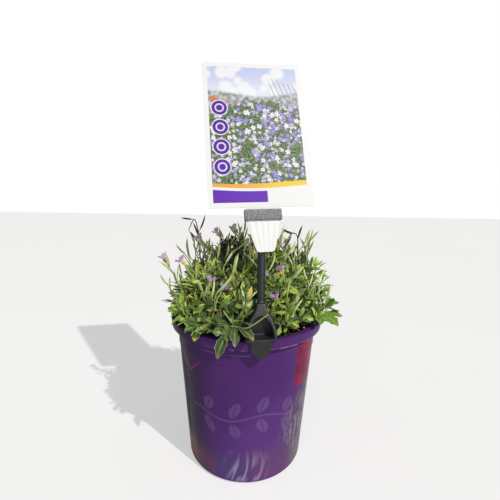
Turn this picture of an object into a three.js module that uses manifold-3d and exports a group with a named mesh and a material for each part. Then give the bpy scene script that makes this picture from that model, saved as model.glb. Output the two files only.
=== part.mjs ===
// A potted aubrieta: a nursery pot filled with soil, a mound of leafy stems that carry seed pods
// and small blooms, and a clip on the pot's rim that holds a picture label.
// Millimetres, +Z up, origin at the centre of the pot's foot, front towards -Y.

import * as THREE from "three";
import { mergeVertices } from "three/addons/utils/BufferGeometryUtils.js";
import Module from "manifold-3d";

const wasm = await Module();
wasm.setup();

// Driving dimensions of the pot
const POT_SEGMENTS = 36;
const POT_HEIGHT = 132.5;
const LIP_RADIUS = 70;
const LIP_BOTTOM = 124.4;
const LIP_INNER_RADIUS = 64.4;
const LIP_SKIN = 1.4;
const LIP_DRAFT = 0.9;
const LIP_EDGE = 0.9;
const FOOT_RADIUS = 52.8;
const BODY_TOP_RADIUS = 64.1;
const WALL = 1.4;
const FLOOR = 2.2;
const FLOOR_CORNER = 2.2;
const FOOT_ROUNDING = 3.85;
const BASE_RECESS = 0.8;
const BASE_RING_INNER_RADIUS = 45;
const BASE_DISC_RADIUS = 18;
const STEP_LINES = [108.9, 118];
const STEP_HALF_DEPTH = 0.25;
const STEP_HALF_HEIGHT = 0.3;
const DRAIN_SLOTS = 6;
const DRAIN_SLOT_SIZE = [9, 7, 5];
const DRAIN_SLOT_RADIUS = 50.5;
const CUT_MARGIN = 1;

// Driving dimensions of the soil
const SOIL_TOP = 123.5;
const SOIL_CROWN = 5;
const SOIL_LUMP = 0.9;
const SOIL_RINGS = 5;
const SOIL_SEGMENTS = 32;
const SOIL_GAP = 0.5;
const SOIL_CHAMFER = 4;
const FIT_GAP = 0.3;
const HOLE_DEPTH = 8;
const HOLE_CUT_HEIGHT = 6;

// Driving dimensions of the label clip, in its own frame: u to the right, y to the back and
// w up along the leaning stem, from the front of the lip's top
const CLIP_AZIMUTH = THREE.MathUtils.degToRad(9.22);
const CLIP_LEAN = THREE.MathUtils.degToRad(18.18);
const CLIP_ROLL = THREE.MathUtils.degToRad(3.58);
const HEAD_TURN = THREE.MathUtils.degToRad(-5.46);
const HEAD_PIVOT = 99;
const CLIP_RADIUS = 69.5;
const CLIP_FRONT = -2.4;
const CLIP_BACK = 9.5;
const CLIP_SKIN = 1.6;
const BRIDGE_WIDTH = 23.2;
const BRIDGE_LOW = 0.4;
const BRIDGE_HIGH = 2;
const SCOOP_HALF_WIDTHS = [
  [11.6, BRIDGE_LOW],
  [12.4, 4.5],
  [11.9, 7.5],
  [10.8, 10],
  [8.8, 15.5],
  [6.1, 19.5],
  [4.3, 22.5],
  [3.5, 26.5],
];
const SCOOP_FRONT_EDGE = 3;
const SCOOP_TOP = [8.4, 26.5];
const SCOOP_TOP_BACK = [12.8, 26];
const SCOOP_CUT_SPAN = 40;
const LEG_BOTTOM = -6.2;
const LEG_HALF_WIDTH = 5;
const STEM_HALF_WIDTH = 3.2;
const STEM_FOOT_HALF_WIDTH = 3.7;
const STEM_FOOT_TAPER = 8;
const STEM_HALF_DEPTH = 2.2;
const STEM_SET_BACK = 3.2;
const STEM_FOOT = 22;
const STEM_TOP = 98;
const COLLAR_LOW = 94;
const COLLAR_HIGH = 103.2;
const COLLAR_HALF_WIDTH = 15.5;
const COLLAR_FRONT = -2.35;
const COLLAR_BACK = 2.9;
const SLOT_HALF_WIDTH = 14;
const SLOT_HALF_DEPTH = 0.65;
const HEAD_PLATE_HALF_WIDTHS = [[6.8, 67.5], [7.4, 70], [10.4, 81], [13, COLLAR_LOW], [14.2, COLLAR_HIGH]];
const HEAD_PLATE_SHIFT = 0.6;
const HEAD_PLATE_FRONT = 0.75;

// Driving dimensions of the label
const LABEL_WIDTH = 88;
const LABEL_BOTTOM = 105.3;
const LABEL_LENGTH = 133;
const LABEL_THICKNESS = 0.7;
const LABEL_CORNER = 1.5;
const TONGUE_BOTTOM = 68.1;
const TONGUE_CORNER = 2;
const TONGUE_HALF_WIDTHS = [
  [13.3, LABEL_BOTTOM],
  [13.3, COLLAR_LOW],
  [10.9, 81],
  [7.7, TONGUE_BOTTOM + TONGUE_CORNER],
];
const TONGUE_FOOT_HALF_WIDTHS = [7.1, 5];

// Driving dimensions of the plant
const RULED_STEMS = 40;
const MOUND_RADIUS = 67;
const MOUND_LOW = 134;
const MOUND_RISE = 46;
const MOUND_REACH = 71;
const MOUND_POWER = 3;
const MOUND_JITTER = 5;
const MOUND_SWELLS = [
  { centre: [-12, 32], reach: 30, rise: 13 },
  { centre: [50, 18], reach: 24, rise: 13 },
];
const FIRST_STEM_TURN = 0.5;
const GOLDEN_ANGLE = THREE.MathUtils.degToRad(137.508);
const STEM_ROOT_SHARE = 0.6;
const STEM_BEND_SHARE = 0.72;
const STEM_BEND_HEIGHT = 0.72;
const STEM_NECK_HEIGHT = 2;
const STEM_ROOT_RADIUS = 1.15;
const STEM_SPACING = 9;
const STEM_SIDES = 5;
const STEM_SHARES = [0.35, 0.62];
const LEAFY_HEIGHTS = [-7.2, -4.8, -2.4, 0, 1.5];
const STEM_RADII = [...Array(3).fill(STEM_ROOT_RADIUS), 1.1, 1, 0.95, 0.9, 0.85, 0];
const LEAF_BANDS = [4, 5, 6];
const LEAVES_A_STEM = 8;
const LEAF_SIDE_STEP = 2;
const LEAF_TURN_SPREAD = 0.3;
const LEAF_TWIST = 0.9;
const LEAF_PITCH = [1.3, 0.5];
const LEAF_LENGTH = [16, 22];
const INNER_LEAF_SHORTER = 0.3;
const LEAF_SLENDERNESS = [0.22, 0.3];
const LEAF_THICKNESS = 1;
const LEAF_STATIONS = [0.34, 0.62, 0.73, 1];
const LEAF_WIDTHS = [0.42, 1, 0.66, 0];
const INNER_LEAF_STATIONS = [0.38, 0.7, 1];
const INNER_LEAF_WIDTHS = [0.6, 1, 0];
const FACET_TOLERANCE = 0.06;
const LEAF_FOLD = 0.22;
const LEAF_RISE = 0.1;
const LEAF_DROOP = [0.12, 0.34];
const ROOTED_STATIONS = [0, ...LEAF_STATIONS];
const ROOTED_WIDTHS = [0.16, ...LEAF_WIDTHS];
const STALK_RADIUS = [0.85, 0.6];
const POD_LENGTH = [14, 20];
const POD_STATIONS = [0, 0.3, 0.72, 1];
const POD_RADII = [0, 1.05, 0.85, 0];
const POD_SHARES = [0.35, 0.85];
const POD_TURNS = [0, 0.9, -0.9, 1.8, -1.8, 2.7];
const POD_TURN_SPREAD = 0.8;
const POD_HEADING = [0.85, 0.5];
const POD_LIFT = 0.25;
const STALK_STEPS = 2;
const PETALS = 4;
const PETAL_LENGTH = 6.2;
const PETAL_HALF_WIDTH = 2.7;
const PETAL_THICKNESS = 0.8;
const PETAL_STATIONS = [0.62, 1];
const PETAL_WIDTHS = [1, 0.55];
const PETAL_OPENING = THREE.MathUtils.degToRad(52);
const PETAL_FOLD = 0.3;
const PETAL_RISE = 0.05;
const PETAL_DROOP = 0.25;
const PETAL_BAND = 1;
const BLOOM_TUBE_HEIGHTS = [0, 4, 5.2, 5.8];
const BLOOM_TUBE_RADII = [0.9, 1.1, 1.1, 0];
const CLEARANCE = 2.4;
const SIBLING_CLEARANCE = 2.3;
const STALK_FREE_FROM = 4;
const SAMPLE_SPACING = 3;
const RIM_CLEARANCE = 1.7;
const SOIL_CLEARANCE = 2;
const SEED = 20349;

// Stems whose place the photograph fixes: the tip of each, its flower stalks as the points that
// they pass through, and the leaves that it shows, each as its tip, half width and arch
const PLACED_STEMS = [
  {
    name: "front_rosette",
    tip: [-9, -61, 141],
    leafTips: [
      [5.2, -80.5, 138.5, 4.4, 0.4],
      [-21, -78.5, 123, 4.2, 0.75],
      [-8, -81, 133.5, 3.4, 0.5],
      [-27, -65.5, 144, 4.2, 0.3],
      [-17, -52, 152, 3.6, 0.2],
    ],
    stalks: [
      { points: [[-4, -62, 152], [3, -60, 165]], pods: 3 },
      { points: [[1, -75.5, 146], [16, -77, 157]], pods: 0 },
    ],
  },
  {
    name: "right_rosette",
    tip: [62, -30, 141],
    leafTips: [
      [82, -33, 140, 4.6, 0.3],
      [76, -44, 135.5, 4.4, 0.4],
      [60, -50, 139, 4, 0.3],
      [79, -18, 149, 4, 0.2],
      [56, -38, 153, 3.6, 0.2],
    ],
    stalks: [],
  },
  {
    name: "left_cluster",
    tip: [-56, -6, 146],
    stalks: [
      { points: [[-66, -6, 164], [-74.5, -5, 178]], pods: 3, bloom: true },
    ],
  },
  {
    name: "tall_stalk",
    tip: [-45, 18, 168],
    stalks: [
      { points: [[-47.5, 18, 186], [-49, 19.5, 205], [-53, 20, 216.5], [-58, 18.5, 206]], pods: 2 },
    ],
  },
  {
    name: "left_high",
    tip: [-29, -2, 174],
    stalks: [
      { points: [[-33, -1, 184], [-42, 0, 196]], pods: 2, bloom: true },
    ],
  },
  {
    name: "left_middle",
    tip: [-36, -22, 164],
    stalks: [
      { points: [[-45, -20, 171], [-54, -18, 179]], pods: 1, bloom: true },
    ],
  },
  {
    name: "back_middle",
    tip: [-4, 24, 187],
    stalks: [
      { points: [[-5, 23, 195], [-10, 25, 203]], pods: 3, bloom: true },
      { points: [[2, 21, 192], [7, 17, 197]], pods: 0, bloom: true },
    ],
  },
  {
    name: "right_arch",
    tip: [50, 6, 173],
    stalks: [
      { points: [[48, 5, 186], [47, 5, 203], [42, 5, 206], [38, 4, 201]], pods: 3, bloom: true },
    ],
  },
  {
    name: "right_pods",
    tip: [60, 16, 170],
    stalks: [
      { points: [[57, 11, 183], [59, 6, 197]], pods: 4 },
    ],
  },
  {
    name: "right_front",
    tip: [32, -32, 164],
    stalks: [
      { points: [[32, -31, 169], [31, -30, 173]], pods: 0, bloom: true },
      { points: [[25, -34, 168], [21, -33, 171]], pods: 0, bloom: true },
    ],
  },
  {
    name: "left_front",
    tip: [-31, -45, 153],
    stalks: [
      { points: [[-32, -44, 160], [-31, -43, 166]], pods: 0, bloom: true },
      { points: [[-26, -47, 158], [-23, -47, 162]], pods: 1, bloom: true },
    ],
  },
  {
    name: "low_right",
    tip: [30, -47, 146],
    stalks: [
      { points: [[28, -48, 151], [26, -48, 155]], pods: 0, bloom: true },
    ],
  },
  {
    name: "back_left",
    tip: [-22, 40, 177],
    stalks: [
      { points: [[-24, 44, 187], [-30, 47, 196]], pods: 3, bloom: true },
    ],
  },
  {
    name: "back_right",
    tip: [27, 38, 176],
    stalks: [
      { points: [[29, 42, 187], [35, 44, 198]], pods: 3 },
    ],
  },
];

// Colours
const COLOURS = {
  pot: { color: 0x54366e, roughness: 0.35 },
  soil: { color: 0x3a2a20, roughness: 0.95 },
  clip: { color: 0x1b1b1d, roughness: 0.5 },
  label: { color: 0xf2f2f0, roughness: 0.45 },
  leaf: { color: 0x5f8a35, roughness: 0.6 },
  petal: { color: 0xa88fd0, roughness: 0.6 },
};

// Random draws: one seeded sequence that every run repeats
const LCG_FACTOR = 1664525;
const LCG_STEP = 1013904223;
const LCG_RANGE = 4294967296;
let draw = SEED;

function random() {
  draw = (draw * LCG_FACTOR + LCG_STEP) % LCG_RANGE;
  return draw / LCG_RANGE;
}

function between([low, high]) {
  return low + (high - low) * random();
}

// Geometry helpers
function vector([x, y, z]) {
  return new THREE.Vector3(x, y, z);
}

function bare(geometry) {
  geometry.deleteAttribute("normal");
  geometry.deleteAttribute("uv");
  return mergeVertices(geometry, 1e-4);
}

function toSolid(geometry) {
  const merged = bare(geometry);
  const mesh = new wasm.Mesh({
    numProp: 3,
    vertProperties: new Float32Array(merged.attributes.position.array),
    triVerts: new Uint32Array(merged.index.array),
  });
  return new wasm.Manifold(mesh);
}

function toGeometry(solid) {
  const mesh = solid.getMesh();
  const geometry = new THREE.BufferGeometry();
  geometry.setAttribute("position", new THREE.BufferAttribute(new Float32Array(mesh.vertProperties), 3));
  geometry.setIndex(new THREE.BufferAttribute(new Uint32Array(mesh.triVerts), 1));
  geometry.computeVertexNormals();
  return geometry;
}

function joined(solids) {
  return solids.reduce((whole, next) => whole.add(next));
}

// The largest body of a join, with loose scraps dropped and sealed hollows filled
function mainBody(solid) {
  const bodies = solid.decompose();
  const largest = bodies.reduce((best, next) => (next.volume() > best.volume() ? next : best));
  return largest.simplify(FACET_TOLERANCE);
}

function signedVolume(points, faces) {
  let total = 0;
  for (const [a, b, c] of faces) {
    total += points[a].dot(new THREE.Vector3().crossVectors(points[b], points[c]));
  }
  return total / 6;
}

function facetSolid(points, faces) {
  const outward = signedVolume(points, faces) > 0;
  const order = outward ? faces : faces.map(([a, b, c]) => [a, c, b]);
  const geometry = new THREE.BufferGeometry();
  const numbers = points.flatMap((p) => p.toArray());
  geometry.setAttribute("position", new THREE.Float32BufferAttribute(numbers, 3));
  geometry.setIndex(order.flat());
  return toSolid(geometry);
}

// The side of a blade's ring from which its quads are split along the other diagonal, so that
// the blade's two faces are split alike
const BLADE_UNDERSIDE = 2;

// A closed solid through rings of points. Where a ring has one point the solid ends in a tip.
// A sprout grows out of one side of one band, through rings of four points of its own.
function loft(rings, sprouts = []) {
  const points = [];
  const faces = [];
  const numbered = rings.map((ring) => numberRing(points, ring));
  for (let k = 0; k + 1 < rings.length; k += 1) {
    const sides = Math.max(rings[k].length, rings[k + 1].length);
    for (let i = 0; i < sides; i += 1) {
      const sprout = sprouts.find((one) => one.band === k && one.side === i);
      if (sprout) {
        growSprout(points, faces, quadOf(numbered, k, i), sprout.rings);
      } else {
        joinSide(faces, numbered[k], numbered[k + 1], i, false);
      }
    }
  }
  closeRing(faces, numbered[0], true);
  closeRing(faces, numbered[rings.length - 1], false);
  return facetSolid(points, faces);
}

function numberRing(points, ring) {
  return ring.map((point) => points.push(point) - 1);
}

function quadOf(numbered, band, side) {
  const next = (side + 1) % numbered[band].length;
  return [numbered[band][side], numbered[band][next], numbered[band + 1][next], numbered[band + 1][side]];
}

function joinSide(faces, low, high, i, otherDiagonal) {
  const next = (i + 1) % Math.max(low.length, high.length);
  if (low.length === 1) {
    faces.push([low[0], high[next], high[i]]);
  } else if (high.length === 1) {
    faces.push([low[i], low[next], high[0]]);
  } else if (otherDiagonal) {
    faces.push([low[i], low[next], high[i]], [low[next], high[next], high[i]]);
  } else {
    faces.push([low[i], low[next], high[next]], [low[i], high[next], high[i]]);
  }
}

function closeRing(faces, ring, turned) {
  for (let i = 1; i + 1 < ring.length; i += 1) {
    faces.push(turned ? [ring[0], ring[i + 1], ring[i]] : [ring[0], ring[i], ring[i + 1]]);
  }
}

// Joins a sprout's rings to the four corners that it grows from, turned to the nearest fit
function growSprout(points, faces, corners, rings) {
  const misfit = (shift) =>
    corners.reduce((sum, c, i) => sum + points[c].distanceTo(rings[0][(i + shift) % 4]), 0);
  const shift = [0, 1, 2, 3].reduce((best, next) => (misfit(next) < misfit(best) ? next : best));
  let low = [0, 1, 2, 3].map((i) => corners[(i + 4 - shift) % 4]);
  for (const ring of rings) {
    const high = numberRing(points, ring);
    for (let i = 0; i < low.length; i += 1) {
      joinSide(faces, low, high, i, i >= BLADE_UNDERSIDE);
    }
    low = high;
  }
  closeRing(faces, low, false);
}

// The rings of a rod along a line of points. A radius of 0 makes that ring a single point.
function rodRings(line, radii, sides, reference) {
  return line.map((centre, k) => {
    const before = line[Math.max(k - 1, 0)];
    const after = line[Math.min(k + 1, line.length - 1)];
    const along = after.clone().sub(before).normalize();
    const across = reference.clone().addScaledVector(along, -reference.dot(along)).normalize();
    const over = new THREE.Vector3().crossVectors(along, across);
    if (radii[k] === 0) {
      return [centre];
    }
    return Array.from({ length: sides }, (_, i) => {
      const turn = (2 * Math.PI * i) / sides;
      return centre
        .clone()
        .addScaledVector(across, radii[k] * Math.cos(turn))
        .addScaledVector(over, radii[k] * Math.sin(turn));
    });
  });
}

function rod(line, radii, sides, reference) {
  return loft(rodRings(line, radii, sides, reference));
}

// A smooth curve through points, at share t of its way
function curvePoint(points, t) {
  const spans = points.length - 1;
  const k = Math.min(Math.floor(t * spans), spans - 1);
  const s = t * spans - k;
  const p0 = points[Math.max(k - 1, 0)];
  const p1 = points[k];
  const p2 = points[k + 1];
  const p3 = points[Math.min(k + 2, spans)];
  const blend = (a, b, c, d) =>
    0.5 * (2 * b + (c - a) * s + (2 * a - 5 * b + 4 * c - d) * s * s + (3 * b - a - 3 * c + d) * s * s * s);
  return new THREE.Vector3(
    blend(p0.x, p1.x, p2.x, p3.x),
    blend(p0.y, p1.y, p2.y, p3.y),
    blend(p0.z, p1.z, p2.z, p3.z),
  );
}

function lathe(profile, segments) {
  const points = profile.map(([r, z]) => new THREE.Vector2(r, z)).reverse();
  const geometry = new THREE.LatheGeometry(points, segments);
  geometry.rotateX(Math.PI / 2);
  return toSolid(geometry);
}

function box(width, depth, height, centre) {
  const geometry = new THREE.BoxGeometry(width, depth, height);
  geometry.translate(...centre);
  return toSolid(geometry);
}

// A plate with an outline in the upright u, w plane, between two depths
function plate(shape, front, back, curveSegments = 6) {
  const depth = back - front;
  const geometry = new THREE.ExtrudeGeometry(shape, { depth, bevelEnabled: false, curveSegments });
  geometry.rotateX(Math.PI / 2);
  geometry.translate(0, back, 0);
  return toSolid(geometry);
}

function outline(points) {
  return new THREE.Shape(points.map(([u, w]) => new THREE.Vector2(u, w)));
}

// An outline from half widths at heights, shifted sideways by shift(height)
function mirrored(halfWidths, shift = () => 0) {
  const right = halfWidths.map(([half, w]) => [shift(w) + half, w]);
  const left = halfWidths.map(([half, w]) => [shift(w) - half, w]).reverse();
  return outline([...right, ...left]);
}

// The pot
function bodyRadius(z) {
  return FOOT_RADIUS + ((BODY_TOP_RADIUS - FOOT_RADIUS) * z) / LIP_BOTTOM;
}

function wallRadius(z) {
  return bodyRadius(z) - WALL;
}

function potProfile() {
  const inside = [
    [0, FLOOR],
    [wallRadius(0) - FLOOR_CORNER, FLOOR],
    [wallRadius(FLOOR + FLOOR_CORNER), FLOOR + FLOOR_CORNER],
    [wallRadius(LIP_BOTTOM), LIP_BOTTOM],
    [LIP_INNER_RADIUS, POT_HEIGHT - LIP_EDGE],
    [LIP_INNER_RADIUS + LIP_EDGE, POT_HEIGHT],
  ];
  const lip = [
    [LIP_RADIUS - LIP_EDGE, POT_HEIGHT],
    [LIP_RADIUS, POT_HEIGHT - LIP_EDGE],
    [LIP_RADIUS - LIP_DRAFT, LIP_BOTTOM],
    [LIP_RADIUS - LIP_DRAFT - LIP_SKIN, LIP_BOTTOM],
    [LIP_RADIUS - LIP_SKIN, POT_HEIGHT - LIP_SKIN],
    [LIP_INNER_RADIUS + WALL, POT_HEIGHT - LIP_SKIN],
    [BODY_TOP_RADIUS, LIP_BOTTOM - LIP_EDGE],
  ];
  const steps = [...STEP_LINES].reverse().flatMap((z) => [
    [bodyRadius(z) + STEP_HALF_DEPTH, z + STEP_HALF_HEIGHT],
    [bodyRadius(z) - STEP_HALF_DEPTH, z - STEP_HALF_HEIGHT],
  ]);
  const cornerDepth = (1 - Math.SQRT1_2) * FOOT_ROUNDING;
  const foot = [
    [bodyRadius(FOOT_ROUNDING), FOOT_ROUNDING],
    [FOOT_RADIUS - cornerDepth, cornerDepth],
    [FOOT_RADIUS - FOOT_ROUNDING, 0],
  ];
  const base = [
    [BASE_RING_INNER_RADIUS + BASE_RECESS, 0],
    [BASE_RING_INNER_RADIUS, BASE_RECESS],
    [BASE_DISC_RADIUS + BASE_RECESS, BASE_RECESS],
    [BASE_DISC_RADIUS, 0],
    [0, 0],
  ];
  return [...inside, ...lip, ...steps, ...foot, ...base];
}

function makePot() {
  let pot = lathe(potProfile(), POT_SEGMENTS);
  const [width, depth, height] = DRAIN_SLOT_SIZE;
  for (let i = 0; i < DRAIN_SLOTS; i += 1) {
    const geometry = new THREE.BoxGeometry(depth, width, height);
    geometry.translate(DRAIN_SLOT_RADIUS, 0, height / 2 - CUT_MARGIN);
    geometry.rotateZ((2 * Math.PI * (i + 0.5)) / DRAIN_SLOTS);
    pot = pot.subtract(toSolid(geometry));
  }
  return mainBody(pot);
}

// The soil
function soilHeight(x, y) {
  const r = Math.hypot(x, y);
  const crown = SOIL_CROWN * (1 - (r / LIP_RADIUS) ** 2);
  const lumps = Math.sin(x * 0.31 + 1) * Math.cos(y * 0.27) + 0.6 * Math.sin(x * 0.13 - y * 0.19);
  return SOIL_TOP + crown + SOIL_LUMP * lumps;
}

// A level ring of the soil, with its points at heightAt(x, y)
function soilRing(radius, heightAt) {
  return Array.from({ length: SOIL_SEGMENTS }, (_, i) => {
    const turn = (2 * Math.PI * i) / SOIL_SEGMENTS;
    const x = radius * Math.cos(turn);
    const y = radius * Math.sin(turn);
    return new THREE.Vector3(x, y, heightAt(x, y));
  });
}

function makeSoil(stems) {
  const topRadius = wallRadius(SOIL_TOP) - SOIL_GAP;
  const top = Array.from({ length: SOIL_RINGS }, (_, k) =>
    soilRing((topRadius * (k + 1)) / SOIL_RINGS, soilHeight));
  const chamferTop = FLOOR + SOIL_CHAMFER;
  const bottom = FLOOR + FIT_GAP;
  let soil = loft([
    [new THREE.Vector3(0, 0, soilHeight(0, 0))],
    ...top,
    soilRing(wallRadius(chamferTop) - SOIL_GAP, () => chamferTop),
    soilRing(wallRadius(0) - FLOOR_CORNER - SOIL_GAP, () => bottom),
    [new THREE.Vector3(0, 0, bottom)],
  ]);
  const radius = STEM_ROOT_RADIUS + FIT_GAP / Math.cos(Math.PI / STEM_SIDES);
  for (const { root, sideways } of stems) {
    const low = root.clone().setZ(root.z - FIT_GAP);
    const high = root.clone().setZ(root.z + HOLE_DEPTH + HOLE_CUT_HEIGHT);
    soil = soil.subtract(rod([low, high], [radius, radius], STEM_SIDES, sideways));
  }
  return mainBody(soil);
}

// The clip and its label
const CLIP_FRAME = new THREE.Matrix4()
  .makeTranslation(CLIP_RADIUS * Math.sin(CLIP_AZIMUTH), -CLIP_RADIUS * Math.cos(CLIP_AZIMUTH), POT_HEIGHT)
  .multiply(new THREE.Matrix4().makeRotationZ(CLIP_AZIMUTH));
const LEAN_FRAME = CLIP_FRAME.clone()
  .multiply(new THREE.Matrix4().makeRotationX(-CLIP_LEAN))
  .multiply(new THREE.Matrix4().makeRotationY(CLIP_ROLL));
const HEAD_FRAME = LEAN_FRAME.clone()
  .multiply(new THREE.Matrix4().makeTranslation(0, 0, HEAD_PIVOT))
  .multiply(new THREE.Matrix4().makeRotationY(HEAD_TURN))
  .multiply(new THREE.Matrix4().makeTranslation(0, 0, -HEAD_PIVOT));

function placed(solid, frame) {
  return solid.transform(frame.elements);
}

// The scoop between the bridge over the rim and the stem: a wedge with an arched hollow
function makeScoop() {
  const lean = (w) => w * Math.tan(CLIP_ROLL);
  const front = plate(mirrored(SCOOP_HALF_WIDTHS, lean), CLIP_FRONT, SCOOP_TOP_BACK[0] + CUT_MARGIN);
  const profile = outline([
    [CLIP_FRONT, BRIDGE_LOW],
    [CLIP_BACK, BRIDGE_LOW],
    SCOOP_TOP_BACK,
    SCOOP_TOP,
    [CLIP_FRONT, SCOOP_FRONT_EDGE],
  ]);
  const wedge = new THREE.ExtrudeGeometry(profile, { depth: SCOOP_CUT_SPAN, bevelEnabled: false });
  wedge.applyMatrix4(new THREE.Matrix4().makeBasis(
    new THREE.Vector3(0, 1, 0),
    new THREE.Vector3(0, 0, 1),
    new THREE.Vector3(1, 0, 0),
  ));
  wedge.translate(-SCOOP_CUT_SPAN / 2, 0, 0);
  const hollow = new THREE.Shape();
  hollow.moveTo(-9.8, BRIDGE_HIGH);
  hollow.lineTo(9.8, BRIDGE_HIGH);
  hollow.quadraticCurveTo(10.2, 9, 6.2, 14);
  hollow.quadraticCurveTo(3.6, 17.6, 0.9, 17.6);
  hollow.quadraticCurveTo(-3.4, 17.4, -6, 13.4);
  hollow.quadraticCurveTo(-9.8, 8, -9.8, BRIDGE_HIGH);
  const cut = plate(hollow, CLIP_FRONT - CUT_MARGIN, CLIP_BACK - CLIP_SKIN, 4);
  return front.intersect(toSolid(wedge)).subtract(cut);
}

function makeRimTongue() {
  const shield = new THREE.Shape();
  shield.moveTo(-8.45, BRIDGE_HIGH);
  shield.lineTo(-8.1, -3);
  shield.quadraticCurveTo(-7.4, -9.4, -2.6, -12.9);
  shield.quadraticCurveTo(0, -15.4, 2.6, -12.9);
  shield.quadraticCurveTo(7.4, -9.4, 8.1, -3);
  shield.lineTo(8.45, BRIDGE_HIGH);
  return plate(shield, CLIP_FRONT, CLIP_FRONT + CLIP_SKIN, 5);
}

function makeHolder() {
  const bridge = box(BRIDGE_WIDTH, CLIP_BACK - CLIP_FRONT, BRIDGE_HIGH - BRIDGE_LOW,
    [0, (CLIP_BACK + CLIP_FRONT) / 2, (BRIDGE_HIGH + BRIDGE_LOW) / 2]);
  const leg = box(2 * LEG_HALF_WIDTH, CLIP_SKIN, BRIDGE_HIGH - LEG_BOTTOM,
    [0, CLIP_BACK - CLIP_SKIN / 2, (BRIDGE_HIGH + LEG_BOTTOM) / 2]);
  const low = joined([bridge, leg, makeRimTongue(), makeScoop()]);
  const stemHeights = [STEM_FOOT, STEM_FOOT + STEM_FOOT_TAPER, STEM_TOP];
  const stemLine = stemHeights.map((w) => new THREE.Vector3(0, 0, w));
  const stemRadii = [STEM_FOOT_HALF_WIDTH, STEM_HALF_WIDTH, STEM_HALF_WIDTH];
  const stem = rod(stemLine, stemRadii, 8, new THREE.Vector3(1, 0, 0))
    .scale([1 / Math.cos(Math.PI / 8), STEM_HALF_DEPTH / STEM_HALF_WIDTH, 1])
    .translate([0, STEM_SET_BACK, 0]);
  const backOutline = mirrored(HEAD_PLATE_HALF_WIDTHS, () => HEAD_PLATE_SHIFT);
  const back = plate(backOutline, HEAD_PLATE_FRONT, HEAD_PLATE_FRONT + CLIP_SKIN);
  const collarHeight = COLLAR_HIGH - COLLAR_LOW;
  const collarMiddle = (COLLAR_HIGH + COLLAR_LOW) / 2;
  const collar = box(2 * COLLAR_HALF_WIDTH, COLLAR_BACK - COLLAR_FRONT, collarHeight,
    [0, (COLLAR_BACK + COLLAR_FRONT) / 2, collarMiddle]);
  const slotHeight = collarHeight + 4 * CUT_MARGIN;
  const slot = box(2 * SLOT_HALF_WIDTH, 2 * SLOT_HALF_DEPTH, slotHeight, [0, 0, collarMiddle]);
  const head = joined([back, collar]).subtract(slot);
  return mainBody(joined([placed(low, CLIP_FRAME), placed(stem, LEAN_FRAME), placed(head, HEAD_FRAME)])
    .subtract(placed(slot, HEAD_FRAME)));
}

function makeLabel() {
  const half = LABEL_WIDTH / 2;
  const top = LABEL_BOTTOM + LABEL_LENGTH;
  const c = LABEL_CORNER;
  const card = new THREE.Shape();
  card.moveTo(half - c, LABEL_BOTTOM);
  card.quadraticCurveTo(half, LABEL_BOTTOM, half, LABEL_BOTTOM + c);
  card.lineTo(half, top - c);
  card.quadraticCurveTo(half, top, half - c, top);
  card.lineTo(-half + c, top);
  card.quadraticCurveTo(-half, top, -half, top - c);
  card.lineTo(-half, LABEL_BOTTOM + c);
  card.quadraticCurveTo(-half, LABEL_BOTTOM, -half + c, LABEL_BOTTOM);
  const [corner, foot] = TONGUE_FOOT_HALF_WIDTHS;
  TONGUE_HALF_WIDTHS.forEach(([u, w]) => card.lineTo(-u, w));
  card.quadraticCurveTo(-corner, TONGUE_BOTTOM, -foot, TONGUE_BOTTOM);
  card.lineTo(foot, TONGUE_BOTTOM);
  const [lowest, ...above] = [...TONGUE_HALF_WIDTHS].reverse();
  card.quadraticCurveTo(corner, TONGUE_BOTTOM, ...lowest);
  above.forEach(([u, w]) => card.lineTo(u, w));
  return placed(plate(card, -LABEL_THICKNESS / 2, LABEL_THICKNESS / 2, 3), HEAD_FRAME);
}

// What the plant keeps clear of: boxes round the clip's foot, its stem and its head, each as its
// lowest and highest corner, and the pot's rim and the soil
const FOOT_KEEP_OUT = new THREE.Box3(vector([-10, -4, -16]), vector([10, 11, 3]));
const STEM_KEEP_OUT = new THREE.Box3(vector([-13.5, -4.5, -2]), vector([13.5, 8, 62]));
const HEAD_KEEP_OUT = new THREE.Box3(vector([-17, -6, 62]), vector([17, 6, 105]));
const SCOOP_KEEP_OUT_TAPER = 0.36;
const SLIM_STEM_KEEP_OUT = 4.3;
const TO_CLIP_FRAME = CLIP_FRAME.clone().invert();
const TO_LEAN_FRAME = LEAN_FRAME.clone().invert();

function touchesHolder(point) {
  if (FOOT_KEEP_OUT.containsPoint(point.clone().applyMatrix4(TO_CLIP_FRAME))) {
    return true;
  }
  const lean = point.clone().applyMatrix4(TO_LEAN_FRAME);
  const reach = Math.max(STEM_KEEP_OUT.max.x - SCOOP_KEEP_OUT_TAPER * lean.z, SLIM_STEM_KEEP_OUT);
  if (STEM_KEEP_OUT.containsPoint(lean) && Math.abs(lean.x) < reach) {
    return true;
  }
  return HEAD_KEEP_OUT.containsPoint(lean);
}

function touchesPot(point) {
  const r = Math.hypot(point.x, point.y);
  const insideRim = r < BODY_TOP_RADIUS - WALL - RIM_CLEARANCE;
  if (insideRim) {
    return point.z < soilHeight(point.x, point.y) + SOIL_CLEARANCE;
  }
  return r < LIP_RADIUS + RIM_CLEARANCE && point.z < POT_HEIGHT + RIM_CLEARANCE;
}

// Leaves, petals and pods
function bladePoint(blade, s, across, over) {
  const { root, along, up, sideways, length, rise, droop } = blade;
  return root
    .clone()
    .addScaledVector(along, length * s)
    .addScaledVector(up, length * (rise * s - droop * s * s) + over)
    .addScaledVector(sideways, across);
}

function makeBlade(root, direction, upward, length, halfWidth, rise, droop, twist) {
  const along = direction.clone().normalize();
  const flat = upward.clone().addScaledVector(along, -upward.dot(along)).normalize();
  const up = flat.applyAxisAngle(along, twist);
  const sideways = new THREE.Vector3().crossVectors(along, up);
  return { root, along, up, sideways, length, halfWidth, rise, droop };
}

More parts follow.
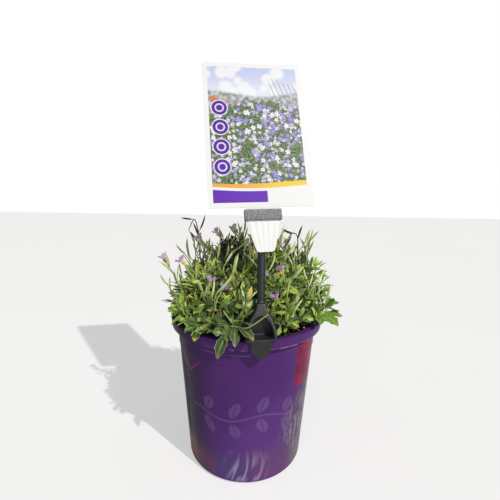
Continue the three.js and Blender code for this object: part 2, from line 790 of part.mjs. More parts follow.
function bladeRings(blade, stations, widths, thickness, fold) {
  return stations.map((s, k) => {
    const half = widths[k] * blade.halfWidth;
    if (half === 0) {
      return [bladePoint(blade, s, 0, 0)];
    }
    return [
      bladePoint(blade, s, -half, fold * half),
      bladePoint(blade, s, 0, thickness / 2),
      bladePoint(blade, s, half, fold * half),
      bladePoint(blade, s, 0, -thickness / 2),
    ];
  });
}

const SAMPLE_STATIONS = [0.22, 0.42, 0.62, 0.8, 1];
const SAMPLE_WIDTHS = [0, 0.7, 0.95, 0.5, 0];

function bladeSamples(blade) {
  return SAMPLE_STATIONS.flatMap((s, k) => {
    const half = SAMPLE_WIDTHS[k] * blade.halfWidth;
    const middle = bladePoint(blade, s, 0, 0);
    const edges = [-half, half].map((across) => bladePoint(blade, s, across, LEAF_FOLD * half));
    return half === 0 ? [middle] : [middle, ...edges];
  });
}

function podSolid(from, to, reference) {
  const line = POD_STATIONS.map((s) => from.clone().lerp(to, s));
  return rod(line, POD_RADII, 4, reference);
}

// The plan: every stem with its stalks, pods, blooms and leaves, each clear of the others
function stemLineOf(tip) {
  const root = new THREE.Vector3(tip.x * STEM_ROOT_SHARE, tip.y * STEM_ROOT_SHARE, 0);
  const surface = soilHeight(root.x, root.y);
  root.z = surface - HOLE_DEPTH;
  const neck = root.clone().setZ(surface + STEM_NECK_HEIGHT);
  const bend = new THREE.Vector3(
    tip.x * STEM_BEND_SHARE,
    tip.y * STEM_BEND_SHARE,
    surface + STEM_BEND_HEIGHT * (tip.z - surface),
  );
  const azimuth = Math.atan2(tip.y, tip.x);
  const sideways = new THREE.Vector3(-Math.sin(azimuth), Math.cos(azimuth), 0);
  const arc = (t) =>
    neck
      .clone()
      .multiplyScalar((1 - t) * (1 - t))
      .addScaledVector(bend, 2 * t * (1 - t))
      .addScaledVector(tip, t * t);
  const heading = tip.clone().sub(bend).normalize();
  return { root, neck, arc, sideways, heading, tip };
}

// A flat-topped mound, with swells at its back and its right shoulder
function moundHeight(x, y) {
  let height = MOUND_LOW + MOUND_RISE * (1 - (Math.hypot(x, y) / MOUND_REACH) ** MOUND_POWER);
  for (const { centre, reach, rise } of MOUND_SWELLS) {
    const away = Math.hypot(x - centre[0], y - centre[1]) / reach;
    height += rise * Math.exp(-away * away);
  }
  return height;
}

function ruledTips() {
  const tips = [];
  for (let i = 0; i < RULED_STEMS; i += 1) {
    const r = MOUND_RADIUS * Math.sqrt((i + 0.5) / RULED_STEMS);
    const turn = i * GOLDEN_ANGLE + FIRST_STEM_TURN;
    const x = r * Math.cos(turn);
    const y = r * Math.sin(turn);
    const z = moundHeight(x, y) + MOUND_JITTER * (random() - 0.5);
    tips.push(new THREE.Vector3(x, y, z));
  }
  return tips;
}

function planStems() {
  const stems = PLACED_STEMS.map((placedStem) => ({
    ...placedStem,
    ...stemLineOf(vector(placedStem.tip)),
  }));
  let number = 1;
  for (const tip of ruledTips()) {
    const crowded = stems.some((s) => Math.hypot(s.tip.x - tip.x, s.tip.y - tip.y) < STEM_SPACING);
    const line = stemLineOf(tip);
    const blocked = [0.4, 0.7, 1].some((t) => touchesHolder(line.arc(t)));
    if (!crowded && !blocked) {
      stems.push({ name: `leafy_stem_${String(number).padStart(2, "0")}`, stalks: [], ...line });
      number += 1;
    }
  }
  return stems;
}

const taken = [];

function take(points, owner) {
  for (const point of points) {
    taken.push({ point, owner });
  }
}

// Blades of one stem may meet at their roots, so the first sample of each is left out there
function isClear(points, owner, siblings) {
  for (const point of points) {
    if (touchesHolder(point) || touchesPot(point)) {
      return false;
    }
    for (const other of taken) {
      if (other.owner !== owner && other.point.distanceTo(point) < CLEARANCE) {
        return false;
      }
    }
  }
  const free = points.slice(1);
  return !siblings.some((other) => free.some((point) => other.distanceTo(point) < SIBLING_CLEARANCE));
}

function planStalk(stem, stalk) {
  const points = [stem.tip, ...stalk.points.map(vector)];
  const steps = STALK_STEPS * (points.length - 1);
  const line = Array.from({ length: steps + 1 }, (_, k) => curvePoint(points, k / steps));
  const radii = line.map((_, k) => STALK_RADIUS[0] + ((STALK_RADIUS[1] - STALK_RADIUS[0]) * k) / steps);
  return { ...stalk, points, line, radii, bloom: stalk.bloom ? planBloom(line) : null };
}

// Pods stand along the upper stalk. One that no turn can keep clear of the rest is left out
function planPods(stalk, owner) {
  const pods = [];
  for (let j = 0; j < stalk.pods; j += 1) {
    const t = POD_SHARES[0] + ((POD_SHARES[1] - POD_SHARES[0]) * (j + 0.5)) / stalk.pods;
    const from = curvePoint(stalk.points, t);
    const along = curvePoint(stalk.points, Math.min(t + 0.05, 1)).sub(from).normalize();
    const firstTurn = j * GOLDEN_ANGLE + random() * POD_TURN_SPREAD;
    const length = between(POD_LENGTH);
    for (const turn of POD_TURNS) {
      const across = new THREE.Vector3(Math.cos(firstTurn + turn), Math.sin(firstTurn + turn), POD_LIFT);
      const [forward, outward] = POD_HEADING;
      const heading = along.clone().multiplyScalar(forward).addScaledVector(across, outward).normalize();
      const to = from.clone().addScaledVector(heading, length);
      const samples = lineSamples([from, to]);
      if (isClear(samples, owner, [])) {
        take(samples, owner);
        pods.push({ from, to });
        break;
      }
    }
  }
  return pods;
}

// A bloom sits on its stalk's end: a narrow tube with petals that grow out of its sides
function planBloom(stalkLine) {
  const end = stalkLine[stalkLine.length - 1];
  const heading = end.clone().sub(stalkLine[stalkLine.length - 2]).normalize();
  const line = BLOOM_TUBE_HEIGHTS.map((h) => end.clone().addScaledVector(heading, FIT_GAP + h));
  const reference = Math.abs(heading.z) < 0.9 ? new THREE.Vector3(0, 0, 1) : new THREE.Vector3(1, 0, 0);
  const rings = rodRings(line, BLOOM_TUBE_RADII, PETALS, reference);
  const blades = Array.from({ length: PETALS }, (_, side) => {
    const { centre, normal, along } = quadFrame(line, rings, PETAL_BAND, side);
    const direction = towards(along, normal, PETAL_OPENING);
    const size = [PETAL_LENGTH, PETAL_HALF_WIDTH];
    return { ...makeBlade(centre, direction, heading, ...size, PETAL_RISE, PETAL_DROOP, 0), side };
  });
  return { rings, blades };
}

// The direction at an angle from one direction towards another that is square to it
function towards(from, to, angle) {
  return from.clone().multiplyScalar(Math.cos(angle)).addScaledVector(to, Math.sin(angle));
}

// The middle, outward direction and upward direction of one side of one band of a rod
function quadFrame(line, rings, band, side) {
  const next = (side + 1) % rings[band].length;
  const corners = [rings[band][side], rings[band][next], rings[band + 1][next], rings[band + 1][side]];
  const centre = corners.reduce((sum, c) => sum.add(c), new THREE.Vector3()).multiplyScalar(0.25);
  const axis = line[band].clone().lerp(line[band + 1], 0.5);
  return {
    centre,
    normal: centre.clone().sub(axis).normalize(),
    along: line[band + 1].clone().sub(line[band]).normalize(),
  };
}

function lineSamples(line) {
  const samples = [];
  for (let k = 0; k + 1 < line.length; k += 1) {
    const steps = Math.max(1, Math.ceil(line[k].distanceTo(line[k + 1]) / SAMPLE_SPACING));
    for (let i = 0; i < steps; i += 1) {
      samples.push(line[k].clone().lerp(line[k + 1], i / steps));
    }
  }
  samples.push(line[line.length - 1]);
  return samples;
}

const LEAF_TRIES = [
  { turn: 0, pitch: 0, scale: 1 },
  { turn: 0.3, pitch: 0, scale: 1 },
  { turn: -0.3, pitch: 0, scale: 1 },
  { turn: 0, pitch: -0.3, scale: 0.95 },
  { turn: 0.4, pitch: -0.15, scale: 0.9 },
  { turn: -0.4, pitch: -0.15, scale: 0.9 },
  { turn: 0.3, pitch: 0.25, scale: 0.85 },
  { turn: -0.3, pitch: 0.25, scale: 0.85 },
  { turn: 0, pitch: -0.45, scale: 0.75 },
  { turn: 0.4, pitch: 0, scale: 0.7 },
  { turn: -0.4, pitch: 0, scale: 0.7 },
];

function stalkSamples(stalk) {
  return [stalk.line, ...stalk.pods.map((pod) => [pod.from, pod.to])].flatMap(lineSamples);
}

// A leaf that no try can keep clear of its neighbours is left out
function planLeaves(stem, index) {
  const firstSide = Math.floor(random() * STEM_SIDES);
  const siblings = stem.grown
    .flatMap(stalkSamples)
    .filter((point) => point.distanceTo(stem.tip) > STALK_FREE_FROM);
  for (let j = 0; j < LEAVES_A_STEM; j += 1) {
    const share = j / (LEAVES_A_STEM - 1);
    const band = LEAF_BANDS[Math.floor((j * LEAF_BANDS.length) / LEAVES_A_STEM)];
    const side = (firstSide + LEAF_SIDE_STEP * j) % STEM_SIDES;
    const length = between(LEAF_LENGTH) * (1 - INNER_LEAF_SHORTER * share);
    const slenderness = between(LEAF_SLENDERNESS);
    const droop = between(LEAF_DROOP);
    const twist = (random() - 0.5) * LEAF_TWIST;
    const turn = (random() - 0.5) * LEAF_TURN_SPREAD;
    const { centre, normal, along } = quadFrame(stem.line, stem.rings, band, side);
    for (const attempt of LEAF_TRIES) {
      const out = normal.clone().applyAxisAngle(along, turn + attempt.turn);
      const pitch = LEAF_PITCH[0] + (LEAF_PITCH[1] - LEAF_PITCH[0]) * share + attempt.pitch;
      const direction = towards(along, out, pitch);
      const size = length * attempt.scale;
      const blade = makeBlade(centre, direction, along, size, size * slenderness, LEAF_RISE, droop, twist);
      const samples = bladeSamples(blade);
      if (isClear(samples, index, siblings)) {
        take(samples, index);
        siblings.push(...samples.slice(1));
        stem.blades.push({ ...blade, band, side });
        break;
      }
    }
  }
}

// Leaves whose tips the photograph shows, with their upper faces turned a little to the front
function planPlacedLeaves(stem, index) {
  const upward = new THREE.Vector3(0, -0.3, 1);
  for (const [x, y, z, halfWidth, arch] of stem.leafTips) {
    const reach = new THREE.Vector3(x, y, z).sub(stem.tip);
    const blade = makeBlade(stem.tip.clone(), reach, upward, reach.length(), halfWidth, arch, arch, 0);
    take(bladeSamples(blade), index);
    stem.blades.push(blade);
  }
}

function planPlant() {
  const stems = planStems();
  stems.forEach((stem, index) => {
    const arcLine = [0, 0.2, 0.4, 0.6, 0.8, 1].map((t) => stem.arc(t));
    take(lineSamples(arcLine), index);
  });
  stems.forEach((stem, index) => {
    stem.grown = stem.stalks.map((stalk) => planStalk(stem, stalk));
    stem.line = [
      stem.root,
      stem.neck,
      ...STEM_SHARES.map((t) => stem.arc(t)),
      ...LEAFY_HEIGHTS.map((h) => stem.tip.clone().addScaledVector(stem.heading, h)),
    ];
    stem.rings = rodRings(stem.line, STEM_RADII, STEM_SIDES, stem.sideways);
    stem.blades = [];
    for (const stalk of stem.grown) {
      take(lineSamples(stalk.line), index);
      take((stalk.bloom?.blades ?? []).flatMap(bladeSamples), -1 - index);
    }
    if (stem.leafTips) {
      planPlacedLeaves(stem, index);
    }
  });
  stems.forEach((stem, index) => {
    for (const stalk of stem.grown) {
      stalk.pods = planPods(stalk, index);
    }
  });
  stems.forEach((stem, index) => {
    if (!stem.leafTips) {
      planLeaves(stem, index);
    }
  });
  return stems;
}

function sprout(blade, band, stations, widths, thickness, fold) {
  return { band, side: blade.side, rings: bladeRings(blade, stations, widths, thickness, fold) };
}

function makeStem(stem) {
  const grown = stem.blades.filter((blade) => blade.band !== undefined);
  const rooted = stem.blades.filter((blade) => blade.band === undefined);
  const innerBand = LEAF_BANDS[LEAF_BANDS.length - 1];
  const leaves = grown.map((blade) =>
    blade.band === innerBand
      ? sprout(blade, blade.band, INNER_LEAF_STATIONS, INNER_LEAF_WIDTHS, LEAF_THICKNESS, LEAF_FOLD)
      : sprout(blade, blade.band, LEAF_STATIONS, LEAF_WIDTHS, LEAF_THICKNESS, LEAF_FOLD));
  const solids = [loft(stem.rings, leaves)];
  for (const blade of rooted) {
    solids.push(loft(bladeRings(blade, ROOTED_STATIONS, ROOTED_WIDTHS, LEAF_THICKNESS, LEAF_FOLD)));
  }
  for (const stalk of stem.grown) {
    solids.push(rod(stalk.line, stalk.radii, 4, stem.sideways));
    stalk.pods.forEach((pod) => solids.push(podSolid(pod.from, pod.to, stem.sideways)));
  }
  return mainBody(joined(solids));
}

function makeBloom(bloom) {
  const petals = bloom.blades.map((blade) =>
    sprout(blade, PETAL_BAND, PETAL_STATIONS, PETAL_WIDTHS, PETAL_THICKNESS, PETAL_FOLD));
  return mainBody(loft(bloom.rings, petals));
}

// The assembly
const plant = new THREE.Group();

function addPart(name, solid, look) {
  const mesh = new THREE.Mesh(toGeometry(solid), new THREE.MeshStandardMaterial({ metalness: 0, ...look }));
  mesh.name = name;
  plant.add(mesh);
}

const stems = planPlant();
addPart("pot", makePot(), COLOURS.pot);
addPart("soil", makeSoil(stems), COLOURS.soil);
addPart("label_holder", makeHolder(), COLOURS.clip);
addPart("label_card", makeLabel(), COLOURS.label);
for (const stem of stems) {
  addPart(stem.name, makeStem(stem), COLOURS.leaf);
  stem.grown.filter((stalk) => stalk.bloom).forEach((stalk, i) => {
    addPart(`bloom_${stem.name}_${i + 1}`, makeBloom(stalk.bloom), COLOURS.petal);
  });
}

export default plant;
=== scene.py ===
import math
import random

import bmesh
import bpy
import numpy as np
from mathutils import Matrix, Vector, noise


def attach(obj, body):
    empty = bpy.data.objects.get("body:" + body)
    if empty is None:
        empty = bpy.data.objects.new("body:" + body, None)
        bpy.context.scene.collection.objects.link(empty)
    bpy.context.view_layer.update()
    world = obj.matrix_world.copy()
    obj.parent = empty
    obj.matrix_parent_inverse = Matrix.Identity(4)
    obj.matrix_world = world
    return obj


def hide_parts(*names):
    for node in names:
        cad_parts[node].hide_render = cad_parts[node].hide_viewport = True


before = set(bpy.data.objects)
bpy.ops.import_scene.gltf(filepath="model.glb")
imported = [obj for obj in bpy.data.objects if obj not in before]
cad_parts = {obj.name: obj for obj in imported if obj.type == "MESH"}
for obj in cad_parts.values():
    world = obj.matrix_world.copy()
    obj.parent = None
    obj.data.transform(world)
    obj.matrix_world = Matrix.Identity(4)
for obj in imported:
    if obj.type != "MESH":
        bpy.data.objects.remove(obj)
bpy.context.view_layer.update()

MM = 0.001
GOLDEN_ANGLE = math.radians(137.508)

# Camera, fitted to the photograph
FRAME_PX = 500
SENSOR_MM = 36
FOCAL_PX = 344.81
PRINCIPAL_PX = (247.84, 224.98)
CAMERA_AT = (0, -0.318405, 0.246305)
CAMERA_PITCH = math.radians(5.84)
CAMERA_ROLL = math.radians(0.84)

# The stage in metres: the floor's reach and how far it is under the foot, what the lights aim at, and the
# world's light as ray, colour and strength
FLOOR_REACH = 3
FLOOR_DROP = 0.0001
LIGHT_TARGET = (0, 0, 0.15)
WORLD_LIGHT = [
    (None, (0.95, 0.97, 1, 1), 0.23),
    ("Is Glossy Ray", (0.9, 0.94, 1, 1), 0.12),
    ("Is Camera Ray", (1, 1, 1, 1), 1),
]

# The pot
POT_SEGMENTS = 144
POT_HEIGHT = 132.5
LIP_RADIUS = 70
LIP_BOTTOM = 124.4
LIP_INNER_RADIUS = 64.4
LIP_SKIN = 1.4
LIP_DRAFT = 0.9
LIP_EDGE = 0.9
FOOT_RADIUS = 52.8
BODY_TOP_RADIUS = 64.1
WALL = 1.4
FLOOR = 2.2
FLOOR_CORNER = 2.2
FOOT_ROUNDING = 3.85
BASE_RECESS = 0.8
BASE_RING_INNER_RADIUS = 45
BASE_DISC_RADIUS = 18
STEP_LINES = [108.9, 118]
STEP_HALF_DEPTH = 0.25
STEP_HALF_HEIGHT = 0.3
DRAIN_SLOTS = 6
DRAIN_SLOT_SIZE = [9, 7, 5]
DRAIN_SLOT_RADIUS = 50.5
DRAIN_SLOT_SHORTER = 3
CUT_MARGIN = 1

# The soil
SOIL_TOP = 123.5
SOIL_CROWN = 5
SOIL_LUMP = 0.9
SOIL_GAP = 0.5
SOIL_CHAMFER = 4
SOIL_RINGS = 56
SOIL_SEGMENTS = 160
SOIL_CRUMB = 1.1
SOIL_CHUNKS = 620
CHUNK_SIZE = [0.5, 1.9]
CHUNK_SUNK = 0.15
CHUNK_STATIONS = [-1.25, -0.7, 0.6, 1.2]
CHUNK_SIDES = 6
CHUNK_JITTER = 0.18
GRIT_SHARE = 0.05
HOLE_DEPTH = 8

# The clip and the label
CLIP_AZIMUTH = math.radians(9.22)
CLIP_LEAN = math.radians(18.18)
CLIP_ROLL = math.radians(3.58)
HEAD_TURN = math.radians(-5.46)
HEAD_PIVOT = 99
CLIP_RADIUS = 69.5
CLIP_VOXEL = 0.5
CLIP_SMOOTHING = 9
COLLAR_LOW = 94
COLLAR_HIGH = 103.2
COLLAR_HALF_WIDTH = 15.5
COLLAR_FRONT = -2.35
LABEL_WIDTH = 88
LABEL_BOTTOM = 105.3
LABEL_LENGTH = 133
LABEL_THICKNESS = 0.7
LABEL_CORNER = 1.5
LABEL_CORNER_STEPS = 5
LABEL_MIDDLE_MARGIN = 12
LABEL_ROWS = 9
LABEL_COLUMNS = 13
TONGUE_BOTTOM = 68.1
TONGUE_HALF_WIDTHS = [(5, 68.1), (7, 68.6), (7.7, 70.1), (10.9, 81), (13.3, COLLAR_LOW), (13.3, 106.3)]
TONGUE_FLUTES = 5
TONGUE_FLUTE_DEPTH = 0.17
TONGUE_FLUTE_FADE = 3
TONGUE_ROWS = 26
TONGUE_COLUMNS = 61
TONGUE_TOP = 106.2
TONGUE_THINNER = 0.03
COLLAR_RIB = 0.16
COLLAR_RIB_SPACING = 1.5
COLLAR_RIB_MIDDLE = 98.6
COLLAR_RIB_REACH = 3.4
# Where no leaf or stalk may be: two corners in the clip's own frame or in its leaning one
FOOT_KEEP_OUT = ((-10, -4, -16), (10, 11, 3))
STEM_KEEP_OUT = ((-13.5, -4.5, -2), (13.5, 8, 62))
HEAD_KEEP_OUT = ((-17, -6, 62), (17, 6, 105))
SCOOP_KEEP_OUT_TAPER = 0.36
SLIM_STEM_KEEP_OUT = 4.3

# Prints
POT_PURPLE = (88, 51, 118)
POT_DARK = (74, 40, 101)
# Painted shade for the pot's left side, away from the key light
POT_PAINTED_SHADE = (20, 9, 28)
MOTIF_HEIGHT = 62
MOTIF_SPACING = 22.5
LABEL_MARGIN = 4
LABEL_WHITE = (248, 248, 247)
PRINT_SHADE = (236, 236, 236)

# The plan of the plant, as in the solids
RULED_STEMS = 40
MOUND_RADIUS = 67
MOUND_LOW = 134
MOUND_RISE = 46
MOUND_REACH = 71
MOUND_POWER = 3
MOUND_JITTER = 5
# Middle, reach and rise
MOUND_SWELLS = [((-12, 32), 30, 13), ((50, 18), 24, 13)]
FIRST_STEM_TURN = 0.5
STEM_ROOT_SHARE = 0.6
STEM_BEND_SHARE = 0.72
STEM_BEND_HEIGHT = 0.72
STEM_NECK_HEIGHT = 2
STEM_ROOT_RADIUS = 1.15
STEM_SPACING = 9
STEM_SIDES = 5
STEM_SHARES = [0.35, 0.62]
LEAFY_HEIGHTS = [-7.2, -4.8, -2.4, 0, 1.5]
STEM_RADII = [STEM_ROOT_RADIUS] * 3 + [1.1, 1, 0.95, 0.9, 0.85, 0]
LEAF_BANDS = [4, 5, 6]
LEAVES_A_STEM = 8
LEAF_SIDE_STEP = 2
LEAF_TURN_SPREAD = 0.3
LEAF_TWIST = 0.9
LEAF_PITCH = [1.3, 0.5]
LEAF_LENGTH = [16, 22]
INNER_LEAF_SHORTER = 0.3
LEAF_SLENDERNESS = [0.22, 0.3]
LEAF_FOLD = 0.22
LEAF_RISE = 0.1
LEAF_DROOP = [0.12, 0.34]
STALK_STEPS = 2
POD_LENGTH = [14, 20]
POD_SHARES = [0.35, 0.85]
POD_TURNS = [0, 0.9, -0.9, 1.8, -1.8, 2.7]
POD_TURN_SPREAD = 0.8
POD_HEADING = [0.85, 0.5]
POD_LIFT = 0.25
PETALS = 4
PETAL_LENGTH = 6.2
PETAL_HALF_WIDTH = 2.7
PETAL_OPENING = math.radians(52)
PETAL_RISE = 0.05
PETAL_DROOP = 0.25
PETAL_BAND = 1
BLOOM_TUBE_HEIGHTS = [0, 4, 5.2, 5.8]
BLOOM_TUBE_RADII = [0.9, 1.1, 1.1, 0]
FIT_GAP = 0.3
CLEARANCE = 2.4
SIBLING_CLEARANCE = 2.3
NEIGHBOUR_REACH = 32
SPACE_SIZE = 60000
STALK_FREE_FROM = 4
SAMPLE_SPACING = 3
SAMPLE_STATIONS = [0.22, 0.42, 0.62, 0.8, 1]
SAMPLE_WIDTHS = [0, 0.7, 0.95, 0.5, 0]
RIM_CLEARANCE = 1.7
SOIL_CLEARANCE = 2
SEED = 20349
LCG_FACTOR = 1664525
LCG_STEP = 1013904223
LCG_RANGE = 4294967296
# Further turn, further pitch and size, tried in this order until a leaf has room
LEAF_TRIES = [
    (0, 0, 1), (0.3, 0, 1), (-0.3, 0, 1), (0, -0.3, 0.95), (0.4, -0.15, 0.9), (-0.4, -0.15, 0.9),
    (0.3, 0.25, 0.85), (-0.3, 0.25, 0.85), (0, -0.45, 0.75), (0.4, 0, 0.7), (-0.4, 0, 0.7),
]

# Stems whose places the photograph fixes, as in the solids: name, tip, leaf tips with half width and
# arch, and stalks with their points, number of pods and whether a bloom ends them
PLACED_STEMS = [
    ("front_rosette", (-9, -61, 141),
     [(5.2, -80.5, 138.5, 4.4, 0.4), (-21, -78.5, 123, 4.2, 0.75), (-8, -81, 133.5, 3.4, 0.5),
      (-27, -65.5, 144, 4.2, 0.3), (-17, -52, 152, 3.6, 0.2)],
     [([(-4, -62, 152), (3, -60, 165)], 3, False), ([(1, -75.5, 146), (16, -77, 157)], 0, False)]),
    ("right_rosette", (62, -30, 141),
     [(82, -33, 140, 4.6, 0.3), (76, -44, 135.5, 4.4, 0.4), (60, -50, 139, 4, 0.3),
      (79, -18, 149, 4, 0.2), (56, -38, 153, 3.6, 0.2)],
     []),
    ("left_cluster", (-56, -6, 146), [], [([(-66, -6, 164), (-74.5, -5, 178)], 3, True)]),
    ("tall_stalk", (-45, 18, 168), [],
     [([(-47.5, 18, 186), (-49, 19.5, 205), (-53, 20, 216.5), (-58, 18.5, 206)], 2, False)]),
    ("left_high", (-29, -2, 174), [], [([(-33, -1, 184), (-42, 0, 196)], 2, True)]),
    ("left_middle", (-36, -22, 164), [], [([(-45, -20, 171), (-54, -18, 179)], 1, True)]),
    ("back_middle", (-4, 24, 187), [],
     [([(-5, 23, 195), (-10, 25, 203)], 3, True), ([(2, 21, 192), (7, 17, 197)], 0, True)]),
    ("right_arch", (50, 6, 173), [],
     [([(48, 5, 186), (47, 5, 203), (42, 5, 206), (38, 4, 201)], 3, True)]),
    ("right_pods", (60, 16, 170), [], [([(57, 11, 183), (59, 6, 197)], 4, False)]),
    ("right_front", (32, -32, 164), [],
     [([(32, -31, 169), (31, -30, 173)], 0, True), ([(25, -34, 168), (21, -33, 171)], 0, True)]),
    ("left_front", (-31, -45, 153), [],
     [([(-32, -44, 160), (-31, -43, 166)], 0, True), ([(-26, -47, 158), (-23, -47, 162)], 1, True)]),
    ("low_right", (30, -47, 146), [], [([(28, -48, 151), (26, -48, 155)], 0, True)]),
    ("back_left", (-22, 40, 177), [], [([(-24, 44, 187), (-30, 47, 196)], 3, True)]),
    ("back_right", (27, 38, 176), [], [([(29, 42, 187), (35, 44, 198)], 3, False)]),
]

# Shoots that only the scene adds where the photograph shows them: tip, heading, number and length of
# leaves, and their green, which on the shadowed ones is painted shadow
PLACED_SHOOTS = [
    ((66, 11, 168), (0.35, 0, 1), 8, 18, "pale"),
    ((70, 2, 158), (0.6, 0, 1), 7, 16, "pale"),
    ((54, 24, 178), (0.15, 0.1, 1), 8, 15, None),
    ((38, 12, 180), (0.1, 0, 1), 8, 15, None),
    ((20, 26, 180), (0, 0.1, 1), 8, 14, None),
    ((10, 36, 184), (0, 0.1, 1), 8, 14, "dark"),
    ((-4, 36, 190), (0, 0.1, 1), 9, 14, "dark"),
    ((-14, 30, 190), (-0.1, 0.1, 1), 9, 14, "dark"),
    ((-25, 32, 187), (-0.15, 0.1, 1), 9, 14, "dark"),
    ((-12, 18, 184), (-0.1, -0.1, 1), 8, 14, "dark"),
    ((-34, 24, 180), (-0.2, 0.1, 1), 8, 14, None),
    ((-46, 6, 170), (-0.3, 0, 1), 8, 15, "pale"),
    ((-60, -14, 149), (-1, -0.1, 0.6), 8, 16, None),
    ((-58, -30, 143), (-0.8, -0.4, 0.6), 8, 14, "pale"),
    ((-63, 4, 149), (-1, 0, 0.7), 7, 14, "dark"),
    ((-44, -46, 142), (-0.5, -0.6, 0.7), 8, 15, "pale"),
    ((-25, -60, 142), (-0.2, -0.7, 0.8), 9, 15, "deep"),
    ((-14, -67, 139), (-0.2, -0.9, 0.4), 6, 16, "deep"),
    ((-38, -57, 139.5), (-0.6, -0.8, 0.15), 7, 18, "deep"),
    ((-28, -62, 140), (-0.3, -0.9, 0.3), 7, 17, "deep"),
    ((-47, -49, 140), (-0.8, -0.6, 0.3), 6, 17, None),
    ((34, -54, 141), (0.3, -0.5, 0.9), 8, 13, "pale"),
    ((44, -46, 143), (0.4, -0.5, 0.9), 8, 14, None),
    ((16, -50, 150), (0, -0.3, 1), 7, 13, None),
    ((-8, -50, 156), (0, -0.3, 1), 8, 16, "pale"),
    ((-56, -22, 146), (-0.5, -0.2, 1), 9, 17, "pale"),
    ((-50, -34, 143), (-0.5, -0.5, 0.9), 9, 17, "pale"),
    ((62, -18, 148), (0.6, -0.1, 0.8), 8, 17, "pale"),
    ((60, -38, 141), (0.5, -0.5, 0.8), 8, 15, "pale"),
    ((62, 6, 172), (0.4, 0, 1), 8, 19, "pale"),
    ((-20, 12, 184), (0, 0, 1), 9, 14, "dark"),
    ((-3, 14, 182), (0, 0, 1), 9, 14, "dark"),
    ((4, 26, 188), (0, 0, 1), 9, 14, "dark"),
    ((-18, 40, 186), (0, 0.1, 1), 9, 14, "dark"),
    ((69, -25, 146), (0.9, -0.2, 0.7), 7, 17, "rich"),
    ((66, -12, 152), (0.8, 0, 0.8), 7, 17, "rich"),
    ((-52, -12, 176), (-0.2, 0, 1), 7, 8, "dry"),
    ((-37, 7, 189), (-0.2, 0, 1), 7, 8, "dry"),
    ((47, -26, 164), (0.2, 0, 1), 6, 5, "dry"),
    ((36, -54, 142), (0.2, -0.3, 1), 6, 6, "dry"),
]

# Where the photograph shows the leaves darker or brighter: middle, reach and shade, the darker patches
# painted shadow
SHADE_PATCHES = [
    ((-13, 18, 184), 15, "dark"),
    ((-12, -6, 180), 15, "dark"),
    ((-50, -45, 146), 10, "pale"),
    ((68, 5, 173), 12, "pale"),
    ((68, -26, 146), 15, "rich"),
]

# Thin stalks that only the scene adds where the photograph shows them: points and number of pods
PLACED_STALKS = [
    ([(-24, 0, 150), (-36, 2, 178), (-43, 4, 193)], 4),
    ([(-28, 2, 158), (-34, 6, 176), (-38, 8, 190)], 2),
    ([(-50, 10, 168), (-56, 9, 178), (-62, 10, 186)], 2),
    ([(-48, 6, 172), (-54, 8, 180), (-57, 8, 186)], 1),
    ([(-49, 14, 172), (-51, 15, 184), (-52, 16, 196)], 2),
    ([(-66, -10, 146), (-70, -8, 152), (-74, -8, 160)], 2),
    ([(-31, 8, 174), (-27, 9, 182), (-22, 10, 190)], 2),
    ([(-24, -39, 142), (-20, -38, 148), (-15, -38, 156)], 1),
    ([(-22, -40, 150), (-19, -38, 160), (-15, -37, 169)], 1),
    ([(-16, -36, 152), (-13, -35, 160), (-10, -34, 167)], 1),
    ([(51, 8, 176), (55, 7, 190), (60, 6, 200)], 3),
    ([(48, 6, 178), (50, 6, 190), (56, 6, 198)], 2),
    ([(36, -5, 176), (31, -3, 183), (26, -2, 190)], 1),
    ([(33, 0, 184), (32, 0, 194), (31, 0, 202)], 1),
    ([(37, 0, 178), (36, 0, 187), (36, 0, 195)], 1),
    ([(18, -38, 150), (26, -34, 158), (34, -30, 167)], 1),
    ([(47, -20, 149), (42, -20, 158), (38, -20, 168)], 2),
    ([(6, -22, 168), (2, -20, 176), (-4, -20, 184)], 1),
    ([(-40, -26, 158), (-44, -27, 166), (-46, -28, 172)], 2),
    ([(14, 10, 180), (18, 12, 190), (21, 12, 197)], 2),
]

# Withered pods that only the scene adds to a planned stalk: start and end
PLACED_PODS = {
    "tall_stalk": [((-48.5, 19.2, 199), (-54, 18.5, 214)), ((-48, 18.6, 192), (-58.5, 18, 206))],
    "right_arch": [((47.4, 5, 196), (42.5, 4.5, 184))],
}

# What only the scene adds to the plant
LOOKS_SEED = 7
SHOOT_TRIES = 5000
SHOOT_LEAF_TRIES = LEAF_TRIES[:9]
SHOOT_SPACING = 8.8
SHOOT_REACH = 66
SHOOT_ABOVE = 3
SHOOT_LEAVES = 8
SHOOT_LENGTH = [13, 20]
SHOOT_SLENDERNESS = [0.11, 0.17]
SHOOT_DROOP = [0.05, 0.35]
SHOOT_TWIST = [-0.7, 0.7]
SHOOT_BEND = 0.45
SHOOT_SAG = 0.5
SHOOT_TOP = 1.2
SHOOT_LEAF_ROOTS = [-5.5, 0.5]
SHOOT_LEAF_PITCH = [1.2, 0.25]
SHOOT_LEAF_SIZES = [0.8, 1.15]
INNER_SHOOT_LEAF_SHORTER = 0.35
FEWEST_SHOOT_LEAVES = 3
SHOOT_RADII = [0.6, 0.4]
SHOOT_STEPS = 8
BROADER_LEAVES = {"deep": 1.7, "rich": 1.5}
SHOOT_CLEARANCE = 1.1
FOOT_SHARES = (0.2, 0.35, 0.5, 0.65, 0.8)
FOOT_REACH = 31
SHOOT_FALL = 4
RIM_SHOOTS = 64
RIM_SHOOT_RADII = [47, 57.5]
RIM_SHOOT_HEIGHTS = [130, 141]
RIM_SHOOT_LEAN = [0.6, 1.3]
RIM_SHOOT_SPREAD = 0.3
SHOOT_OUTWARD = 0.8
SHOOT_SPREAD = 0.3
SHOOT_CROWDING_UP = 0.45
SHOOT_ABOVE_SOIL = 5
SHOOT_ABOVE_RIM = 3
RIM_NEAR_RADIUS = 54
HEART_LEAVES = 5
HEART_LENGTH = [10, 5]
HEART_PITCH = [0.75, 0.3]
EXTRA_STALKS = [2, 2, 3]
EXTRA_STALK_RISE = [9, 22]
